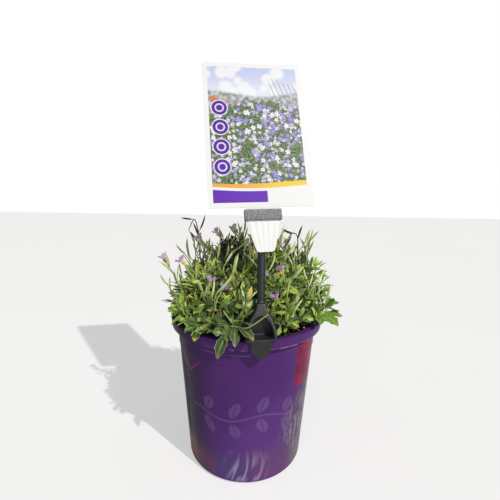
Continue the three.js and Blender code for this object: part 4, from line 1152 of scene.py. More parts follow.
def add_stalk(shells, stalk, looks, dark):
    line = curve_line(stalk["points"], FINE_STALK_STEPS * (len(stalk["points"]) - 1))
    tint = at(looks.uniform(0.35, 0.9), looks.uniform(0, 0.4), 1 if dark else looks.uniform(0, 0.9), 0)
    radii = np.linspace(*FINE_STALK_RADII, len(line)) * (THINNER_EXTRA_STALK if stalk.get("extra") else 1)
    add_rod(shells, line, radii, FINE_STALK_SIDES, 1, tint, safe_reference(line))
    for start, end in stalk["pods"]:
        add_pod(shells, start, end, looks, dark)


def add_pod(shells, start, end, looks, dark):
    """A narrow seed pod on its short stalk, a little bent and flattened."""
    axis = unit(end - start)
    side = turned(square_to(axis), axis, looks.uniform(0, math.tau))
    bow = looks.uniform(*POD_BOW)
    line = [start + (end - start) * s + side * bow * math.sin(math.pi * s) for s in POD_STATIONS]
    over = np.cross(axis, side)
    turns = 2 * math.pi * np.arange(POD_SIDES) / POD_SIDES
    size = looks.uniform(*POD_SIZE)
    rings = []
    for k, centre in enumerate(line):
        bump = 1 + POD_SEED_BUMP * (k % 2) * (0.2 < POD_STATIONS[k] < 0.85)
        radius = POD_RADII[k] * size * bump
        flat = POD_FLATNESS if POD_STATIONS[k] > 0.18 else 1
        rings.append(centre + radius * (np.outer(np.cos(turns), side) + flat * np.outer(np.sin(turns), over)))
    v = POD_STATIONS[:, None] + np.zeros((1, POD_SIDES))
    u = np.abs(np.cos(turns))[None, :] + 0 * v
    tint = at(looks.uniform(0.3, 1), looks.random(), 1 if dark else looks.uniform(0, 0.9), 0)
    shells.add(rings, 2, np.stack([u, v], -1), tint)


def petal_rings(blade, looks):
    middle, edge, widths = PETAL_STATIONS.T
    columns = LEAF_COLUMNS[None, :]
    phase = looks.uniform(0, math.tau)
    s = middle[:, None] + (edge - middle)[:, None] * np.abs(columns) ** 0.5
    across = blade["half_width"] * widths[:, None] * columns
    ruffle = 0.28 * np.sin(9 * s + 2.5 * columns + phase) * s
    over = 0.3 * np.abs(across) ** 1.3 / 2 + ruffle
    lift = blade["length"] * (blade["rise"] * s - blade["droop"] * s * s)
    thickness = PETAL_THICKNESS * (1 - np.abs(columns) ** 2 * 0.7) + 0 * s

    def surface(height):
        return (blade["root"] + blade["along"] * (blade["length"] * s)[..., None]
                + blade["up"] * (lift + height)[..., None] + blade["sideways"] * across[..., None])

    above = surface(over + thickness / 2)
    below = surface(over - thickness / 2)[:, ::-1]
    uv = np.stack([(columns + 1) / 2 + 0 * s, s], -1)
    return np.concatenate([above, below], 1), np.concatenate([uv, uv[:, ::-1]], 1)


def add_bloom(shells, bloom, looks, fading):
    """A bloom's tube of sepals, yellow on a fading one, its four petals and its stamens."""
    start, heading = bloom["line"][0], bloom["heading"]
    tint = at(looks.random(), looks.random(), looks.random(), looks.random())
    if fading:
        tint[1] = 1
    tube = [start + heading * h for h in FINE_TUBE_HEIGHTS]
    add_rod(shells, tube, FINE_TUBE_RADII, 10, 1, tint, bloom["reference"])
    for blade in bloom["blades"]:
        size = looks.uniform(0.84, 1)
        wide = dict(blade, length=blade["length"] * size, half_width=blade["half_width"] * size * 0.9,
                    rise=0.02, droop=looks.uniform(-0.35, 0.05))
        rings, uv = petal_rings(wide, looks)
        shells.add(rings, 0, uv, tint)
    side = square_to(heading)
    for j in range(SEPALS):
        out = turned(side, heading, j * math.tau / SEPALS + 0.4)
        root = start + out * 0.75 + heading * 0.6
        sepal = make_blade(root, heading + out * 0.16, out, SEPAL_LENGTH, SEPAL_HALF_WIDTH,
                           0.02, 0.02, 0)
        line = [blade_point(sepal, s, 0, 0.25) for s in np.linspace(0, 1, len(SEPAL_WIDTHS))]
        add_rod(shells, line, SEPAL_WIDTHS * 0.5, 6, 1, tint, out)
    for j in range(STAMENS):
        out = turned(side, heading, j * math.tau / STAMENS)
        foot = start + heading * 4.8 + out * 0.3
        line = [foot + heading * up + out * aside for up, aside in STAMEN_LINE]
        add_rod(shells, line, STAMEN_RADII, 5, 2, tint, out)


# Material graphs
def rgb(colour):
    """A shader colour from 0 to 255 display values."""
    def channel(value):
        value /= 255
        return value / 12.92 if value <= 0.04045 else ((value + 0.055) / 1.055) ** 2.4
    return (*map(channel, colour), 1)


def wired(operation, swapped=False):
    """A method that joins a wire, and what it is reckoned with, by a math node."""
    def join(self, *others):
        values = (self, *others)
        return self.graph.math(operation, *(values[::-1] if swapped else values))
    return join


class Wire:
    """A node's output that can be reckoned with like a number."""

    __add__ = __radd__ = wired("ADD")
    __mul__ = __rmul__ = wired("MULTIPLY")
    __sub__ = wired("SUBTRACT")
    __rsub__ = wired("SUBTRACT", True)
    __truediv__ = wired("DIVIDE")
    __pow__ = wired("POWER")
    __abs__ = wired("ABSOLUTE")

    def __init__(self, graph, socket):
        self.graph = graph
        self.socket = socket


class Graph:
    """A material's nodes, and the colour painted with them so far."""

    def __init__(self, name, **sockets):
        self.material = bpy.data.materials.new(name)
        self.material.use_nodes = True
        self.nodes = self.material.node_tree.nodes
        self.links = self.material.node_tree.links
        self.paint = None
        for socket, value in sockets.items():
            self.set(socket.replace("_", " "), value)

    def set(self, socket, value):
        """Puts a value on one of the shader's own sockets."""
        self.put(self.nodes["Principled BSDF"].inputs[socket], value)

    def put(self, socket, value):
        if isinstance(value, Wire):
            self.links.new(value.socket, socket)
        else:
            socket.default_value = value

    def make(self, kind, inputs, **settings):
        made = give(self.nodes.new(kind), **settings)
        for key, value in inputs.items():
            self.put(made.inputs[key], value)
        return made

    def wires(self, made, *outputs):
        return [Wire(self, made.outputs[output]) for output in outputs]

    def node(self, kind, inputs, output=0, **settings):
        return Wire(self, self.make(kind, inputs, **settings).outputs[output])

    def math(self, operation, *values):
        return self.node("ShaderNodeMath", dict(enumerate(values)), operation=operation)

    def larger(self, *values):
        return self.math("MAXIMUM", *values)

    def sine(self, degrees):
        return self.math("SINE", self.math("RADIANS", degrees))

    def sawtooth(self, value):
        """From -0.5 to 0.5 in each whole step of the value."""
        return self.math("FRACT", value) - 0.5

    def distance(self, x, y):
        return self.math("SQRT", x * x + y * y)

    def smooth(self, value, low, high, start=0.0, end=1.0):
        """start below low, end above high and a smooth step between them."""
        inputs = {"Value": value, 1: low, 2: high, 3: start, 4: end}
        return self.node("ShaderNodeMapRange", inputs, interpolation_type="SMOOTHSTEP")

    def fade(self, value, low, high):
        """1 below low, 0 above high and a smooth step between them."""
        return self.smooth(value, low, high, 1, 0)

    def noise(self, scale, detail=2, vector=None, roughness=0.5):
        inputs = {"Vector": vector or self.place(), "Scale": scale, "Detail": detail, "Roughness": roughness}
        return self.node("ShaderNodeTexNoise", inputs)

    def place(self):
        return self.node("ShaderNodeTexCoord", {}, "Object")

    def split(self, vector):
        return self.wires(self.make("ShaderNodeSeparateXYZ", {0: vector}), 0, 1, 2)

    def uv(self):
        return self.split(self.node("ShaderNodeTexCoord", {}, "UV"))[:2]

    def tint(self):
        """The four channels of the mesh's tint."""
        attribute = self.make("ShaderNodeVertexColor", {}, layer_name="tint")
        colour, alpha = self.wires(attribute, "Color", "Alpha")
        return [*self.wires(self.make("ShaderNodeSeparateColor", {0: colour}), 0, 1, 2), alpha]

    def mix(self, share, low, high, blend="MIX"):
        """A mix of two colours, each a wire or three display values."""
        low, high = [rgb(colour) if isinstance(colour, tuple) else colour for colour in (low, high)]
        return self.node("ShaderNodeMix", {0: share, 6: low, 7: high}, 2, data_type="RGBA", blend_type=blend)

    def ground(self, share, low, high):
        self.paint = self.mix(share, low, high)

    def over(self, share, colour, blend="MIX"):
        """Paints a share of a colour over what is there."""
        self.paint = self.mix(share, self.paint, colour, blend)

    def bump(self, height, distance, strength):
        inputs = {"Height": height, "Distance": distance, "Strength": strength}
        self.set("Normal", self.node("ShaderNodeBump", inputs))

    def painted(self):
        self.set("Base Color", self.paint)
        return self.material


def leaf_material():
    g = Graph("leaf green", Roughness=0.36, Sheen_Weight=0.1, Sheen_Roughness=0.4)
    light, yellow, blue_and_shadow, dry = g.tint()
    u, v = g.uv()
    speckle = g.noise(900, 3)
    g.ground(g.smooth(light + (speckle - 0.5) * 0.6, 0, 1), (26, 50, 14), (190, 222, 78))
    g.over(blue_and_shadow * 0.4, (110, 142, 96))
    # Painted shadow: dark bluish green on the shadowed leaves, whose tint's third channel is near its top
    g.over(g.smooth(blue_and_shadow, 0.75, 0.9, 0, 0.85), (26, 52, 44))
    g.over(g.smooth(blue_and_shadow, 0.14, 0.1, 0, 0.55), (92, 150, 24))
    across = abs(u - 0.5)
    side_vein = g.fade(abs(g.sawtooth(v * 7 - across * 5)), 0.02, 0.12)
    vein = g.larger(g.fade(across, 0.015, 0.07), side_vein * 0.3)
    g.over(vein * 0.5, (196, 212, 146))
    g.over(g.smooth(across, 0.42, 0.5, 0, 0.5), (208, 214, 172))
    g.over(g.smooth(v + yellow * 0.8, 0.95, 1.35), (224, 196, 104))
    g.over(g.smooth(v, 0.86, 0.97) * g.smooth(dry, 0.75, 0.9), (142, 112, 62))
    g.bump(speckle * 0.3 - vein * 0.7, 0.0003, 0.7)
    return g.painted()


def stem_material():
    g = Graph("stem green", Roughness=0.5, Sheen_Weight=0.1)
    light, _, blue_and_shadow, woody = g.tint()
    _, v = g.uv()
    g.ground(light, (108, 132, 66), (186, 200, 132))
    g.over(g.smooth(v, 0.75, 0.1) * woody, (112, 84, 58))
    g.over(g.smooth(g.noise(260), 0.5, 0.7) * (blue_and_shadow * 0.5), (126, 92, 96))
    # Painted shadow: near-black green where the tint's third channel is at its top, on shadowed stalks and a
    # few stems at random
    g.over(g.smooth(blue_and_shadow, 0.93, 0.97), (46, 56, 44))
    g.bump(g.noise(1400, 3), 0.0002, 0.5)
    return g.painted()


def pod_material():
    g = Graph("pod green", Roughness=0.45, Sheen_Weight=0.1)
    light, yellow, blue_and_shadow, _ = g.tint()
    _, v = g.uv()
    g.ground(light, (126, 154, 74), (206, 216, 152))
    g.over(yellow * g.smooth(v, 0.5, 1), (222, 214, 156))
    g.over(g.smooth(g.noise(300), 0.5, 0.68) * g.smooth(blue_and_shadow, 0.6, 0.9), (122, 84, 92))
    # Painted shadow: near-black green on the pods of shadowed stalks
    g.over(g.smooth(blue_and_shadow, 0.93, 0.97), (46, 56, 46))
    g.bump(g.noise(1200, 3), 0.0002, 0.5)
    return g.painted()


def petal_material():
    g = Graph("petal lilac", Roughness=0.55, Sheen_Weight=0.2, Subsurface_Weight=0.1)
    light = g.tint()[0]
    u, v = g.uv()
    g.ground(light, (188, 144, 216), (236, 212, 246))
    g.over(g.smooth(g.noise(1500, 2), 0.45, 0.7) * 0.35, (136, 88, 180))
    g.over(g.smooth(v, 0.5, 0.1) + g.smooth(abs(u - 0.5), 0.12, 0, 0, 0.25), (238, 232, 246))
    g.bump(g.noise(900, 2), 0.0003, 0.5)
    return g.painted()


def calyx_material():
    g = Graph("calyx", Roughness=0.55, Sheen_Weight=0.15)
    yellow = g.tint()[1]
    _, v = g.uv()
    g.ground(yellow, (122, 140, 76), (236, 200, 104))
    g.over(g.smooth(v, 0.4, 1) * g.smooth(yellow, 0.9, 0.5, 0, 0.75), (138, 100, 138))
    g.bump(g.noise(1500, 2), 0.0002, 0.5)
    return g.painted()


def stamen_material():
    g = Graph("stamen", Roughness=0.6)
    g.ground(g.smooth(g.noise(2000), 0.3, 0.7), (214, 178, 62), (240, 220, 130))
    return g.painted()


def soil_material():
    g = Graph("soil", Roughness=0.95)
    light, pale = g.tint()[:2]
    g.ground(g.smooth(g.noise(420, 6, roughness=0.65), 0.3, 0.72), (30, 22, 17), (92, 68, 48))
    g.over(g.smooth(pale, 0.3, 0.4), g.mix(light, (46, 32, 24), (120, 88, 60)))
    g.over(g.smooth(pale, 0.92, 0.96), (206, 200, 188))
    g.bump(g.noise(1100, 5), 0.0008, 0.9)
    return g.painted()


def pot_material():
    """Printed film round the pot, placed by the angle from the front in degrees and by the height."""
    g = Graph("purple pot", Specular_IOR_Level=0.1, Coat_Weight=0.05, Coat_Roughness=0.06)
    x, y, z = g.split(g.place())
    angle = g.math("DEGREES", g.math("ARCTAN2", x, y * -1))
    height = z * (1 / MM)

    def panel(centre, level, reach, tall, soft, power=2):
        """A soft oval, or a rounded panel where the power is high."""
        size = abs((angle - centre) / reach) ** power + abs((height - level) / tall) ** power
        return g.fade(size, 1 - soft, 1)

    below_lip = g.fade(height, 121, 122)
    wall = g.smooth(height, 3, 5) * below_lip
    g.ground(g.smooth(g.noise(9, 2), 0.35, 0.65), POT_DARK, POT_PURPLE)
    # Painted shade: the left side darkened, fading out towards the back
    g.over(g.smooth(angle, -18, -62) * g.smooth(angle, -145, -85) * 0.95, POT_PAINTED_SHADE)
    low = g.mix(g.smooth(angle, -14, 16), (76, 62, 112), (94, 62, 104))
    low = g.mix(g.smooth(angle, -27, -29), low, (96, 62, 84))
    low = g.mix(g.smooth(angle, -48, -72), low, (150, 102, 74))
    low = g.mix(g.smooth(angle, 40, 58), low, (104, 98, 100))
    low = g.mix(g.smooth(abs(angle), 72, 112), low, (84, 66, 100))
    ragged = height - g.sine(angle * 3) * 5 + g.noise(30, 3) * 16
    g.over(g.fade(ragged, 26, 46) * wall * 0.8, low)
    g.over(g.smooth(height, 20, 6) * panel(26, 8, 24, 26, 0.7) * wall * 0.12, (138, 52, 112))
    leafy_zone = panel(84, 46, 58, 42, 0.75) * wall
    g.over(leafy_zone * 0.5, (78, 70, 78))
    leafy = g.mix(g.noise(90, 3), (96, 104, 76), (176, 176, 170))
    g.over(pot_foliage(g, angle, height) * leafy_zone * 0.66, leafy)
    red = g.mix(g.smooth(g.noise(40, 3), 0.4, 0.6), (108, 21, 60), (138, 30, 66))
    g.over(panel(84, 102.5, 42, 22.5, 0.03, 9) * below_lip * 0.94, red)
    ribbon = height - abs(angle + 50) * 0.9
    g.over(g.fade(abs(ribbon - 94), 0.6, 1.8) * panel(-52, 104, 18, 18, 0.6) * 0.6, (132, 40, 82))
    g.over(pot_motif(g, angle, height) * 0.22, (134, 112, 160))
    # Painted highlight: glints of reflected light near the foot
    g.over(pot_painted_glints(g, angle, height) * 0.34, (208, 202, 230))
    # Thin light lines along the lip's lower edge and the upper step line, fading out on the left: painted
    # highlight, broken up into scuffs of wear
    for level, share in ((LIP_BOTTOM + 0.6, 0.38), (STEP_LINES[1], 0.25)):
        highlight_and_wear = g.smooth(g.noise(130, 3), 0.42, 0.6) * g.smooth(angle, -50, -20)
        g.over(g.fade(abs(height - level), 0.15, 0.5) * highlight_and_wear * share, (196, 176, 190))
    g.over(g.smooth(g.noise(820, 2), 0.79, 0.82) * 0.6, (196, 190, 204))
    scuff = g.smooth(g.noise(700, 4, roughness=0.7), 0.62, 0.75)
    g.set("Roughness", 0.16 + scuff * 0.18)
    g.bump(g.noise(26, 1) + g.noise(2600, 2) * 0.01, 0.0009, 0.35)
    return g.painted()


def pot_foliage(g, angle, height):
    """Blurred upright leaves: two sets of uneven stripes that lean and break up."""
    shapes = []
    for width, lean, phase in ((6.5, 0.1, 3), (4.2, -0.16, 40)):
        slant = angle + height * lean + g.noise(24 + phase, 2) * 14
        stripe = g.fade(abs(g.sawtooth(slant / width)), 0.05, 0.4)
        shapes.append(stripe * g.smooth(g.noise(62 + phase, 4, roughness=0.65), 0.44, 0.58))
    return g.larger(*shapes)


def pot_painted_glints(g, angle, height):
    """Thin, curved painted highlights near the foot: reflections in the creased printed film."""
    across = angle - height * 0.45 + (height / 20) ** 2 * 3
    stretched = g.node("ShaderNodeCombineXYZ", {0: across * 0.11, 1: height * 0.02})
    line = g.fade(abs(g.noise(1, 1, stretched) - 0.5), 0, 0.1)
    foot = g.smooth(height, 1, 6) * g.fade(height, 12, 36)
    return line * (g.fade(abs(angle - 2), 6, 24) * foot)


def pot_motif(g, angle, height):
    """A faint band of round leaves along a wavy stalk, at the front and at the back."""
    level = height - g.sine(angle * 6) * 3 - MOTIF_HEIGHT
    side = g.sawtooth(angle / MOTIF_SPACING) * MOTIF_SPACING
    across = abs((side - abs(level) * 0.3) / 5)
    up = (abs(level) - 9.5) / 7.6
    leaf = g.fade(across + up * up, 0.92, 1) * g.smooth(across, 0.04, 0.12)
    zones = g.larger(g.fade(abs(angle), 46, 50), g.smooth(abs(angle), 128, 132))
    return g.larger(g.fade(abs(level), 0.6, 1.1), leaf) * zones


def clip_material():
    g = Graph("black clip")
    collar = g.tint()[0]
    mottle = g.noise(1300, 4, roughness=0.7)
    g.ground(g.noise(300, 3), (30, 31, 33), (46, 47, 50))
    g.over(collar, g.mix(g.smooth(mottle, 0.36, 0.64), (48, 49, 54), (158, 158, 161)))
    g.set("Roughness", 0.33 + g.noise(900, 2) * 0.2)
    g.bump(g.noise(2400, 3) + mottle * collar * 2, 0.0001, 0.5)
    return g.painted()


def card_flowers(g, place, spread, phase):
    """A bed of five-petalled flowers, one in each cell: their mask, hue and heart."""
    shifted = g.node("ShaderNodeVectorMath", {0: place, 1: (phase, phase * 0.7, 0)}, operation="ADD")
    cell = g.make("ShaderNodeTexVoronoi", {"Vector": shifted, "Scale": 1 / spread, "Randomness": 1},
                  voronoi_dimensions="2D")
    centre, colour = g.wires(cell, "Position", "Color")
    x, y, _ = g.split(g.node("ShaderNodeVectorMath", {0: shifted, 1: centre}, operation="SUBTRACT"))
    chance, share, hue = g.split(colour)
    petal = abs(g.math("COSINE", (g.math("ARCTAN2", y, x) + hue * 6.28) * 2.5))
    reach = (petal * 0.26 + 0.2) * ((share * 0.5 + 0.65) * spread)
    radius = g.distance(x, y)
    mask = g.fade(radius - reach, -0.12, 0.12) * g.smooth(chance, 0.42, 0.44)
    return mask, hue, g.fade(radius, 0.4, 0.7)


def label_material():
    """A made-up garden picture on white card: hills, a bed of flowers, a gold line and plain discs."""
    g = Graph("label print", Roughness=0.45, Specular_IOR_Level=0.2)
    u, v = g.uv()
    x, y = u * LABEL_WIDTH, v * LABEL_LENGTH
    place = g.node("ShaderNodeCombineXYZ", {0: x, 1: y})
    wobble = g.noise(0.12, 3, place)

    def hill(level, size, width, start, soft=0.3):
        """1 under a rolling line, 0 above it."""
        return g.fade(y - (g.math("SINE", x / width + start) * size + level), -soft, soft)

    g.ground(g.smooth(y, 92, 130), (242, 244, 254), (202, 210, 246))
    billow = g.node("ShaderNodeTexVoronoi", {"Vector": place, "Scale": 0.075, "Randomness": 0.9})
    g.over(g.fade(billow + wobble * 0.3, 0.5, 0.74) * 0.85, (252, 252, 254))
    far = g.mix(g.smooth(g.noise(0.3, 4, place), 0.4, 0.6), (122, 142, 134), (206, 206, 214))
    g.over(hill(103, 2.5, 14, 1.2, 2) * 0.9, far)
    reed = g.fade(abs(g.sawtooth((x + y * 0.35) / 4.2)), 0.08, 0.2)
    reeds = g.smooth(x, 54, 62) * hill(117, 3, 7, 0, 1.5)
    g.over(reed * reeds * 0.7, (166, 170, 182))
    warm = g.smooth(x, 38, 12) * hill(98, 3, 6, 0, 3)
    g.over(warm * g.smooth(wobble, 0.45, 0.6), (216, 128, 84))
    shore = y + ((x - 50) / 44) ** 2 * 15 + g.noise(0.25, 3, place) * 14
    bed = g.fade(shore, 102, 106)
    g.over(bed, g.mix(g.smooth(g.noise(0.6, 5, place, 0.75), 0.38, 0.62), (34, 52, 44), (136, 164, 104)))
    for spread, phase in ((3.6, 47), (4.6, 11), (5.8, 3)):
        mask, hue, heart = card_flowers(g, place, spread, phase)
        flower = g.mix(g.smooth(hue, 0.2, 0.8), (248, 246, 255), (156, 138, 230))
        flower = g.mix(heart * 0.8, flower, (214, 206, 120))
        g.over(mask * g.smooth(g.noise(0.07, 1, place), 0.34, 0.46) * bed, flower)
    gold = g.mix(g.smooth(x, 20, 70), (244, 178, 76), (254, 214, 74))
    below_gold = hill(18, 1.9, 24, 3.1)
    g.over(hill(21.5, 1.6, 22, 3.4), gold)
    g.over(below_gold, LABEL_WHITE)
    strip = g.fade(x, 49, 49.4) * g.smooth(y, 3.9, 4.2)
    g.over(strip * (below_gold * hill(15.6, 1.9, 24, 3.1)), (108, 50, 188))
    for level in (35, 53, 71, 89):
        radius = g.distance(x - 13, y - level)
        g.over(g.fade(radius, 7.4, 7.6), (248, 248, 252))
        g.over(g.fade(radius, 6.6, 6.8), (92, 42, 166))
        g.over(g.fade(abs(radius - 3.4) - 0.5, 0, 0.3), (232, 226, 246))
    for near, span in ((x, LABEL_WIDTH), (y, LABEL_LENGTH)):
        inner = span / 2 - abs(near - span / 2)
        g.over(g.fade(inner, LABEL_MARGIN - 0.2, LABEL_MARGIN), LABEL_WHITE)
    g.over(1, PRINT_SHADE, "MULTIPLY")
    g.bump(g.noise(1200, 2), 0.00005, 0.3)
    return g.painted()


# The pot
def pot_profile():
    inside = [
        (0, FLOOR),
        (wall_radius(0) - FLOOR_CORNER, FLOOR),
        (wall_radius(FLOOR + FLOOR_CORNER), FLOOR + FLOOR_CORNER),
        (wall_radius(LIP_BOTTOM), LIP_BOTTOM),
        (LIP_INNER_RADIUS, POT_HEIGHT - LIP_EDGE),
    ]
    inner_edge = rounded((LIP_INNER_RADIUS + LIP_EDGE, POT_HEIGHT - LIP_EDGE), LIP_EDGE, 180, 90)
    outer_edge = rounded((LIP_RADIUS - LIP_EDGE, POT_HEIGHT - LIP_EDGE), LIP_EDGE, 90, 0)
    lip = [
        (LIP_RADIUS - LIP_DRAFT, LIP_BOTTOM + 0.2),
        (LIP_RADIUS - LIP_DRAFT - 0.3, LIP_BOTTOM),
        (LIP_RADIUS - LIP_DRAFT - LIP_SKIN, LIP_BOTTOM),
        (LIP_RADIUS - LIP_SKIN, POT_HEIGHT - LIP_SKIN),
        (LIP_INNER_RADIUS + WALL, POT_HEIGHT - LIP_SKIN),
        (BODY_TOP_RADIUS, LIP_BOTTOM - LIP_EDGE),
    ]
    steps = []
    for z in reversed(STEP_LINES):
        steps.append((body_radius(z) + STEP_HALF_DEPTH, z + STEP_HALF_HEIGHT))
        steps.append((body_radius(z) - STEP_HALF_DEPTH, z - STEP_HALF_HEIGHT))
    foot = rounded((FOOT_RADIUS - FOOT_ROUNDING, FOOT_ROUNDING), FOOT_ROUNDING, 5, -90, 7)
    base = [
        (BASE_RING_INNER_RADIUS + BASE_RECESS, 0),
        (BASE_RING_INNER_RADIUS, BASE_RECESS),
        (BASE_DISC_RADIUS + BASE_RECESS, BASE_RECESS),
        (BASE_DISC_RADIUS, 0),
        (0, 0),
    ]
    return inside + inner_edge + outer_edge + lip + steps + foot + base


def rounded(centre, radius, start, end, steps=4):
    """Profile points on an arc from start to end degrees."""
    turns = np.radians(np.linspace(start, end, steps))
    return [(centre[0] + radius * math.cos(t), centre[1] + radius * math.sin(t)) for t in turns]


def applied(piece, modifier_type, **settings):
    """The piece with one modifier applied."""
    give(piece.modifiers.new("once", modifier_type), **settings)
    graph = bpy.context.evaluated_depsgraph_get()
    mesh = bpy.data.meshes.new_from_object(piece.evaluated_get(graph), depsgraph=graph)
    piece.modifiers.clear()
    old = piece.data
    piece.data = mesh
    bpy.data.meshes.remove(old)


def lathe_mesh(name, profile, segments):
    work = bmesh.new()
    line = [work.verts.new((r * MM, 0, z * MM)) for r, z in profile]
    edges = [work.edges.new(pair) for pair in zip(line, line[1:])]
    bmesh.ops.spin(work, geom=line + edges, axis=(0, 0, 1), cent=(0, 0, 0), steps=segments, angle=math.tau,
                   use_merge=True)
    bmesh.ops.remove_doubles(work, verts=work.verts, dist=1e-6)
    bmesh.ops.recalc_face_normals(work, faces=work.faces)
    mesh = bpy.data.meshes.new(name)
    work.to_mesh(mesh)
    work.free()
    return mesh


def make_pot():
    pot = add_object("nursery_pot", lathe_mesh("nursery_pot", pot_profile(), POT_SEGMENTS))
    width, depth, height = DRAIN_SLOT_SIZE
    size = Matrix.Diagonal(((depth - DRAIN_SLOT_SHORTER) * MM, width * MM, height * MM, 1))
    reach = DRAIN_SLOT_RADIUS - DRAIN_SLOT_SHORTER / 2
    place = Matrix.Translation((reach * MM, 0, (height / 2 - CUT_MARGIN) * MM))
    work = bmesh.new()
    for i in range(DRAIN_SLOTS):
        turn = Matrix.Rotation(math.tau * (i + 0.5) / DRAIN_SLOTS, 4, "Z")
        bmesh.ops.create_cube(work, size=1, matrix=turn @ place @ size)
    slots = add_object("slots", bpy.data.meshes.new("slots"))
    work.to_mesh(slots.data)
    work.free()
    applied(pot, "BOOLEAN", object=slots, operation="DIFFERENCE", solver="EXACT")
    bpy.data.objects.remove(slots)
    pot.data.shade_smooth()
    pot.data.set_sharp_from_angle(angle=math.radians(32))
    pot.data.materials.append(pot_material())
    adopt(pot, ["pot"])


# The soil
def make_soil(looks):
    shells = Shells()
    top_radius = wall_radius(SOIL_TOP) - SOIL_GAP
    turns = math.tau * np.arange(SOIL_SEGMENTS) / SOIL_SEGMENTS
    rings = []
    for k in range(SOIL_RINGS):
        r = top_radius * (k + 0.3) / (SOIL_RINGS - 0.7)
        ring = []
        for turn in turns:
            x, y = r * math.cos(turn), r * math.sin(turn)
            crumb = noise.fractal((x * 0.22, y * 0.22, 0.5), 0.6, 2.1, 5)
            ring.append((x, y, soil_height(x, y) + SOIL_CRUMB * crumb * (1 if k < SOIL_RINGS - 1 else 0)))
        rings.append(ring)
    for radius, z in ((wall_radius(FLOOR + SOIL_CHAMFER) - SOIL_GAP, FLOOR + SOIL_CHAMFER),
                      (wall_radius(0) - FLOOR_CORNER - SOIL_GAP, FLOOR + FIT_GAP)):
        rings.append([(radius * math.cos(t), radius * math.sin(t), z) for t in turns])
    shells.add(rings, 0, (0, 0), (0, 0, 0, 1))
    for _ in range(SOIL_CHUNKS):
        add_chunk(shells, looks, top_radius)
    soil = shells.object("potting_soil", [soil_material()], 60)
    adopt(soil, ["soil"])


def add_chunk(shells, looks, top_radius):
    """A bit of bark or grit, half sunk in the soil."""
    size = looks.uniform(*CHUNK_SIZE)
    r = (top_radius - 2.5) * math.sqrt(looks.random())
    turn = looks.uniform(0, math.tau)
    x, y = r * math.cos(turn), r * math.sin(turn)
    centre = at(x, y, soil_height(x, y) + size * CHUNK_SUNK)
    long = unit(at(looks.uniform(-1, 1), looks.uniform(-1, 1), looks.uniform(-0.3, 0.3)))
    line = [centre + long * size * h for h in CHUNK_STATIONS]
    radii = [0.25 * size, looks.uniform(0.6, 0.9) * size, looks.uniform(0.5, 0.85) * size, 0.2 * size]
    rings = np.array(rod_rings(line, radii, CHUNK_SIDES, square_to(long)))
    jitter = [looks.uniform(-CHUNK_JITTER, CHUNK_JITTER) * size for _ in range(rings.size)]
    rings += np.array(jitter).reshape(rings.shape)
    pale = 1 if looks.random() < GRIT_SHARE else 0.6
    shells.add(rings, 0, (0, 0), (looks.random(), pale, 0, 1))


# The clip and the label
def make_clip():
    """The solid's own form with rounded, moulded edges, and a ribbed collar."""
    clip = add_object("label_clip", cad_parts["label_holder"].data.copy())
    clip.data.materials.clear()
    applied(clip, "REMESH", mode="VOXEL", voxel_size=CLIP_VOXEL * MM)
    applied(clip, "SMOOTH", factor=0.5, iterations=CLIP_SMOOTHING)
    mesh = clip.data
    points = np.empty(len(mesh.vertices) * 3)
    mesh.vertices.foreach_get("co", points)
    head = moved(points.reshape(-1, 3) / MM, TO_HEAD)
    on_collar = (head[:, 2] > COLLAR_LOW - 0.6) & (head[:, 2] < COLLAR_HIGH + 0.4) & (
        np.abs(head[:, 0]) < COLLAR_HALF_WIDTH + 1)
    ribbed = on_collar & (head[:, 1] < COLLAR_FRONT + 0.6) & (
        np.abs(head[:, 2] - COLLAR_RIB_MIDDLE) < COLLAR_RIB_REACH)
    head[:, 1] += COLLAR_RIB * np.cos(head[:, 0] * math.tau / COLLAR_RIB_SPACING) * ribbed
    mesh.vertices.foreach_set("co", (moved(head, HEAD_FRAME) * MM).ravel())
    shade = np.zeros((len(head), 4))
    shade[:, 0] = on_collar
    mesh.color_attributes.new("tint", "FLOAT_COLOR", "POINT").data.foreach_set("color", shade.ravel())
    mesh.shade_smooth()
    mesh.materials.append(clip_material())
    adopt(clip, ["label_holder"])


def card_rings(heights, half_widths, columns, thickness, relief):
    """Rings of a flat strip in the clip's head frame, with its front towards -y."""
    rings, uvs = [], []
    for w, half in zip(heights, half_widths):
        u = half * columns
        front = np.stack([u, -thickness / 2 - relief(columns, w), np.full_like(u, w)], -1)
        back = np.stack([u[::-1], np.full_like(u, thickness / 2), np.full_like(u, w)], -1)
        rings.append(moved(np.concatenate([front, back]), HEAD_FRAME))
        across = np.concatenate([u, u[::-1]]) / LABEL_WIDTH + 0.5
        uvs.append(np.stack([across, np.full_like(across, (w - LABEL_BOTTOM) / LABEL_LENGTH)], -1))
    return np.array(rings), np.array(uvs)


